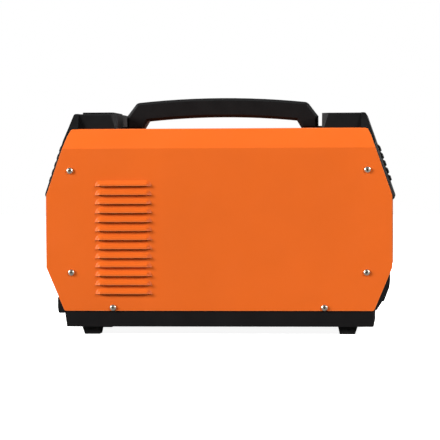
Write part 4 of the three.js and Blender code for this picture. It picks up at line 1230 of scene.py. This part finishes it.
def fan_blade(turn, low, high):
    front = blade_face(turn, low, high, 1)
    back = blade_face(turn, low, high, -1)
    width = BLADE_STEPS + 1
    count = len(front)
    faces = []
    for a, b, c, d in quads(BLADE_ROWS, BLADE_STEPS, width):
        faces += [[a, b, c, d], [count + a, count + d, count + c, count + b]]
    rim = [i * width for i in range(BLADE_ROWS + 1)]
    rim += [BLADE_ROWS * width + j for j in range(1, width)]
    rim += [i * width + BLADE_STEPS for i in range(BLADE_ROWS - 1, -1, -1)]
    rim += list(range(BLADE_STEPS - 1, 0, -1))
    faces += [[a, b, count + b, count + a] for a, b in zip(rim, rim[1:] + rim[:1])]
    return solid("blade", front + back, faces, PLASTIC)


def make_fan_rotor():
    low, high = node_box("fan_rotor")
    near, far = low.x, high.x
    corners = [
        (0, -far),
        (FAN_HUB - 3, -far, 1),
        (FAN_HUB, -far + 2.4, 1.6),
        (FAN_HUB, -near, 0.4),
        (FAN_HUB - 1.6, -near, 0.3),
        (FAN_HUB - 1.6, -near - 1.2),
        (0, -near - 1.2),
    ]
    parts = [turned("hub", corners, FAN_PLACE, PLASTIC, 72, -1)]
    for k in range(FAN_BLADES):
        parts.append(fan_blade(2 * pi * k / FAN_BLADES, near + 0.6, far - 0.6))
    rotor = joined("fan_impeller", parts)
    flat_shaded(rotor)
    stand_for(rotor, "fan_rotor")


def ring_wire(radius, wire, x, centre, name, material):
    """A wire ring facing along X."""
    steps = 96
    points = []
    for i in range(steps):
        for j in range(WIRE_SIDES):
            turn = 2 * pi * j / WIRE_SIDES
            spot = around(centre, radius + wire * cos(turn), 360 * i / steps)
            points.append((x + wire * sin(turn), *spot))
    faces = []
    for i in range(steps):
        here = i * WIRE_SIDES
        ahead = (i + 1) % steps * WIRE_SIDES
        for j in range(WIRE_SIDES):
            after = (j + 1) % WIRE_SIDES
            faces.append([here + j, here + after, ahead + after, ahead + j])
    return solid(name, points, faces, material)


def straight_wire(start, end, wire, name, material):
    """A round bar between two points."""
    along = (end - start).normalized()
    side = along.cross(Vector((1, 0, 0))).normalized()
    up = along.cross(side)
    points = []
    for middle in (start, end):
        for j in range(WIRE_SIDES):
            turn = 2 * pi * j / WIRE_SIDES
            points.append(tuple(middle + side * wire * cos(turn) + up * wire * sin(turn)))
    return solid(name, points, prism(WIRE_SIDES), material)


def make_fan_guard():
    """A welded wire guard: rings on four spokes that end in screw eyes."""
    low, high = node_box("fan_guard")
    middle = (low.x + high.x) / 2
    wire = GUARD_WIRE
    parts = []
    for k in range(GUARD_RINGS):
        parts.append(ring_wire(8 + 6.6 * k, wire, middle - 0.25, FAN_PLACE, "ring", ZINC))
    eyes = [around(FAN_PLACE, GUARD_SCREWS, 45 + 90 * k) for k in range(4)]
    for k, eye in enumerate(eyes):
        spots = (around(FAN_PLACE, radius, 45 + 90 * k) for radius in (7.4, 54.6))
        start, end = (Vector((middle + 0.2, *spot)) for spot in spots)
        parts.append(straight_wire(start, end, wire, "spoke", ZINC))
        parts.append(ring_wire(3.3, wire, middle + 0.2, eye, "eye", ZINC))
    stand_for(joined("fan_wire_guard", parts), "fan_guard")
    for k, eye in enumerate(eyes):
        screw_at(f"fan_screw_{k + 1}", (low.x + 0.6, *eye), -1, 0.8)


ROCKER_LEAN = radians(12)
ROCKER_HALF = 12
ROCKER_DISH = (2.25, 5)  # how far the rocker stands out at its middle and at its ends
MARK_HEIGHT = 6.6


def make_rocker_marks():
    """A bar and a ring on the power rocker's two halves, on and off."""
    node = "power_rocker"
    pivot = Vector((-SEAT, *centre_line(node)))
    bar = slab("power_rocker_on", rounded_rectangle(0, 0, 0.35, 2.3, 0.3), -0.15, 0.3, WHITE_INK)
    ring = ring_wire(2.0, 0.3, 0, (0, 0), "power_rocker_off", WHITE_INK)
    rise = ROCKER_DISH[1] - ROCKER_DISH[0]
    out = ROCKER_DISH[0] + rise * MARK_HEIGHT / ROCKER_HALF + 0.02
    for mark, side in ((bar, 1), (ring, -1)):
        spot = Matrix.Translation(Vector((-out, 0, MARK_HEIGHT * side)) * MM)
        slope = Matrix.Rotation(-atan2(rise, ROCKER_HALF) * side, 4, "Y")
        lean = Matrix.Translation(pivot * MM) @ Matrix.Rotation(ROCKER_LEAN, 4, "Y")
        mark.matrix_world = lean @ spot @ slope
        belongs(mark, node)


# ---- the rest of the CAD nodes

# edge width in millimetres, steps, and the angle above which an edge is rounded
BEVELS = {
    "handle": (1.1, 3, 20),
    "front_frame": (0.7, 3, 24),
    "rear_frame": (0.7, 3, 24),
    "base_tray": (0.5, 3, 28),
    "front_panel": (0.3, 2, 40),
    "rear_panel": (0.3, 2, 40),
    "display_window": (0.4, 3, 40),
    "fan_frame": (0.5, 2, 40),
}
SMALL_BEVEL = (0.35, 2, 40)


def finish_cad_nodes():
    for name, node in NODES.items():
        if name not in REPLACED:
            refined(name, *BEVELS.get(name, SMALL_BEVEL))
        node.data.materials.clear()
        node.data.materials.append(MATERIALS[SLOT_OF[name]])
    for name in ("transformer_winding", "output_choke", "high_frequency_coil"):
        NODES[name].data.materials[0] = WIRE


make_camera()
make_studio()
SMALL_SCREW = small_screw()
make_cover()
make_cover_screws()
make_knob("current_knob", 16, 15, 24)
make_knob("slope_knob", 9, 13, 18)
make_knob("post_gas_knob", 9, 13, 18)
make_socket("negative", [(4.2, 0.7)])
make_socket("positive", [(4.2, 0.7), (0.7, 4.2)])
make_torch_socket()
make_gas_outlet()
make_gas_inlet()
make_dial()
make_knob_scales()
make_display()
make_indicators()
make_cable_gland()
make_fan_rotor()
make_fan_guard()
make_rocker_marks()
finish_cad_nodes()
bpy.data.objects.remove(SMALL_SCREW)
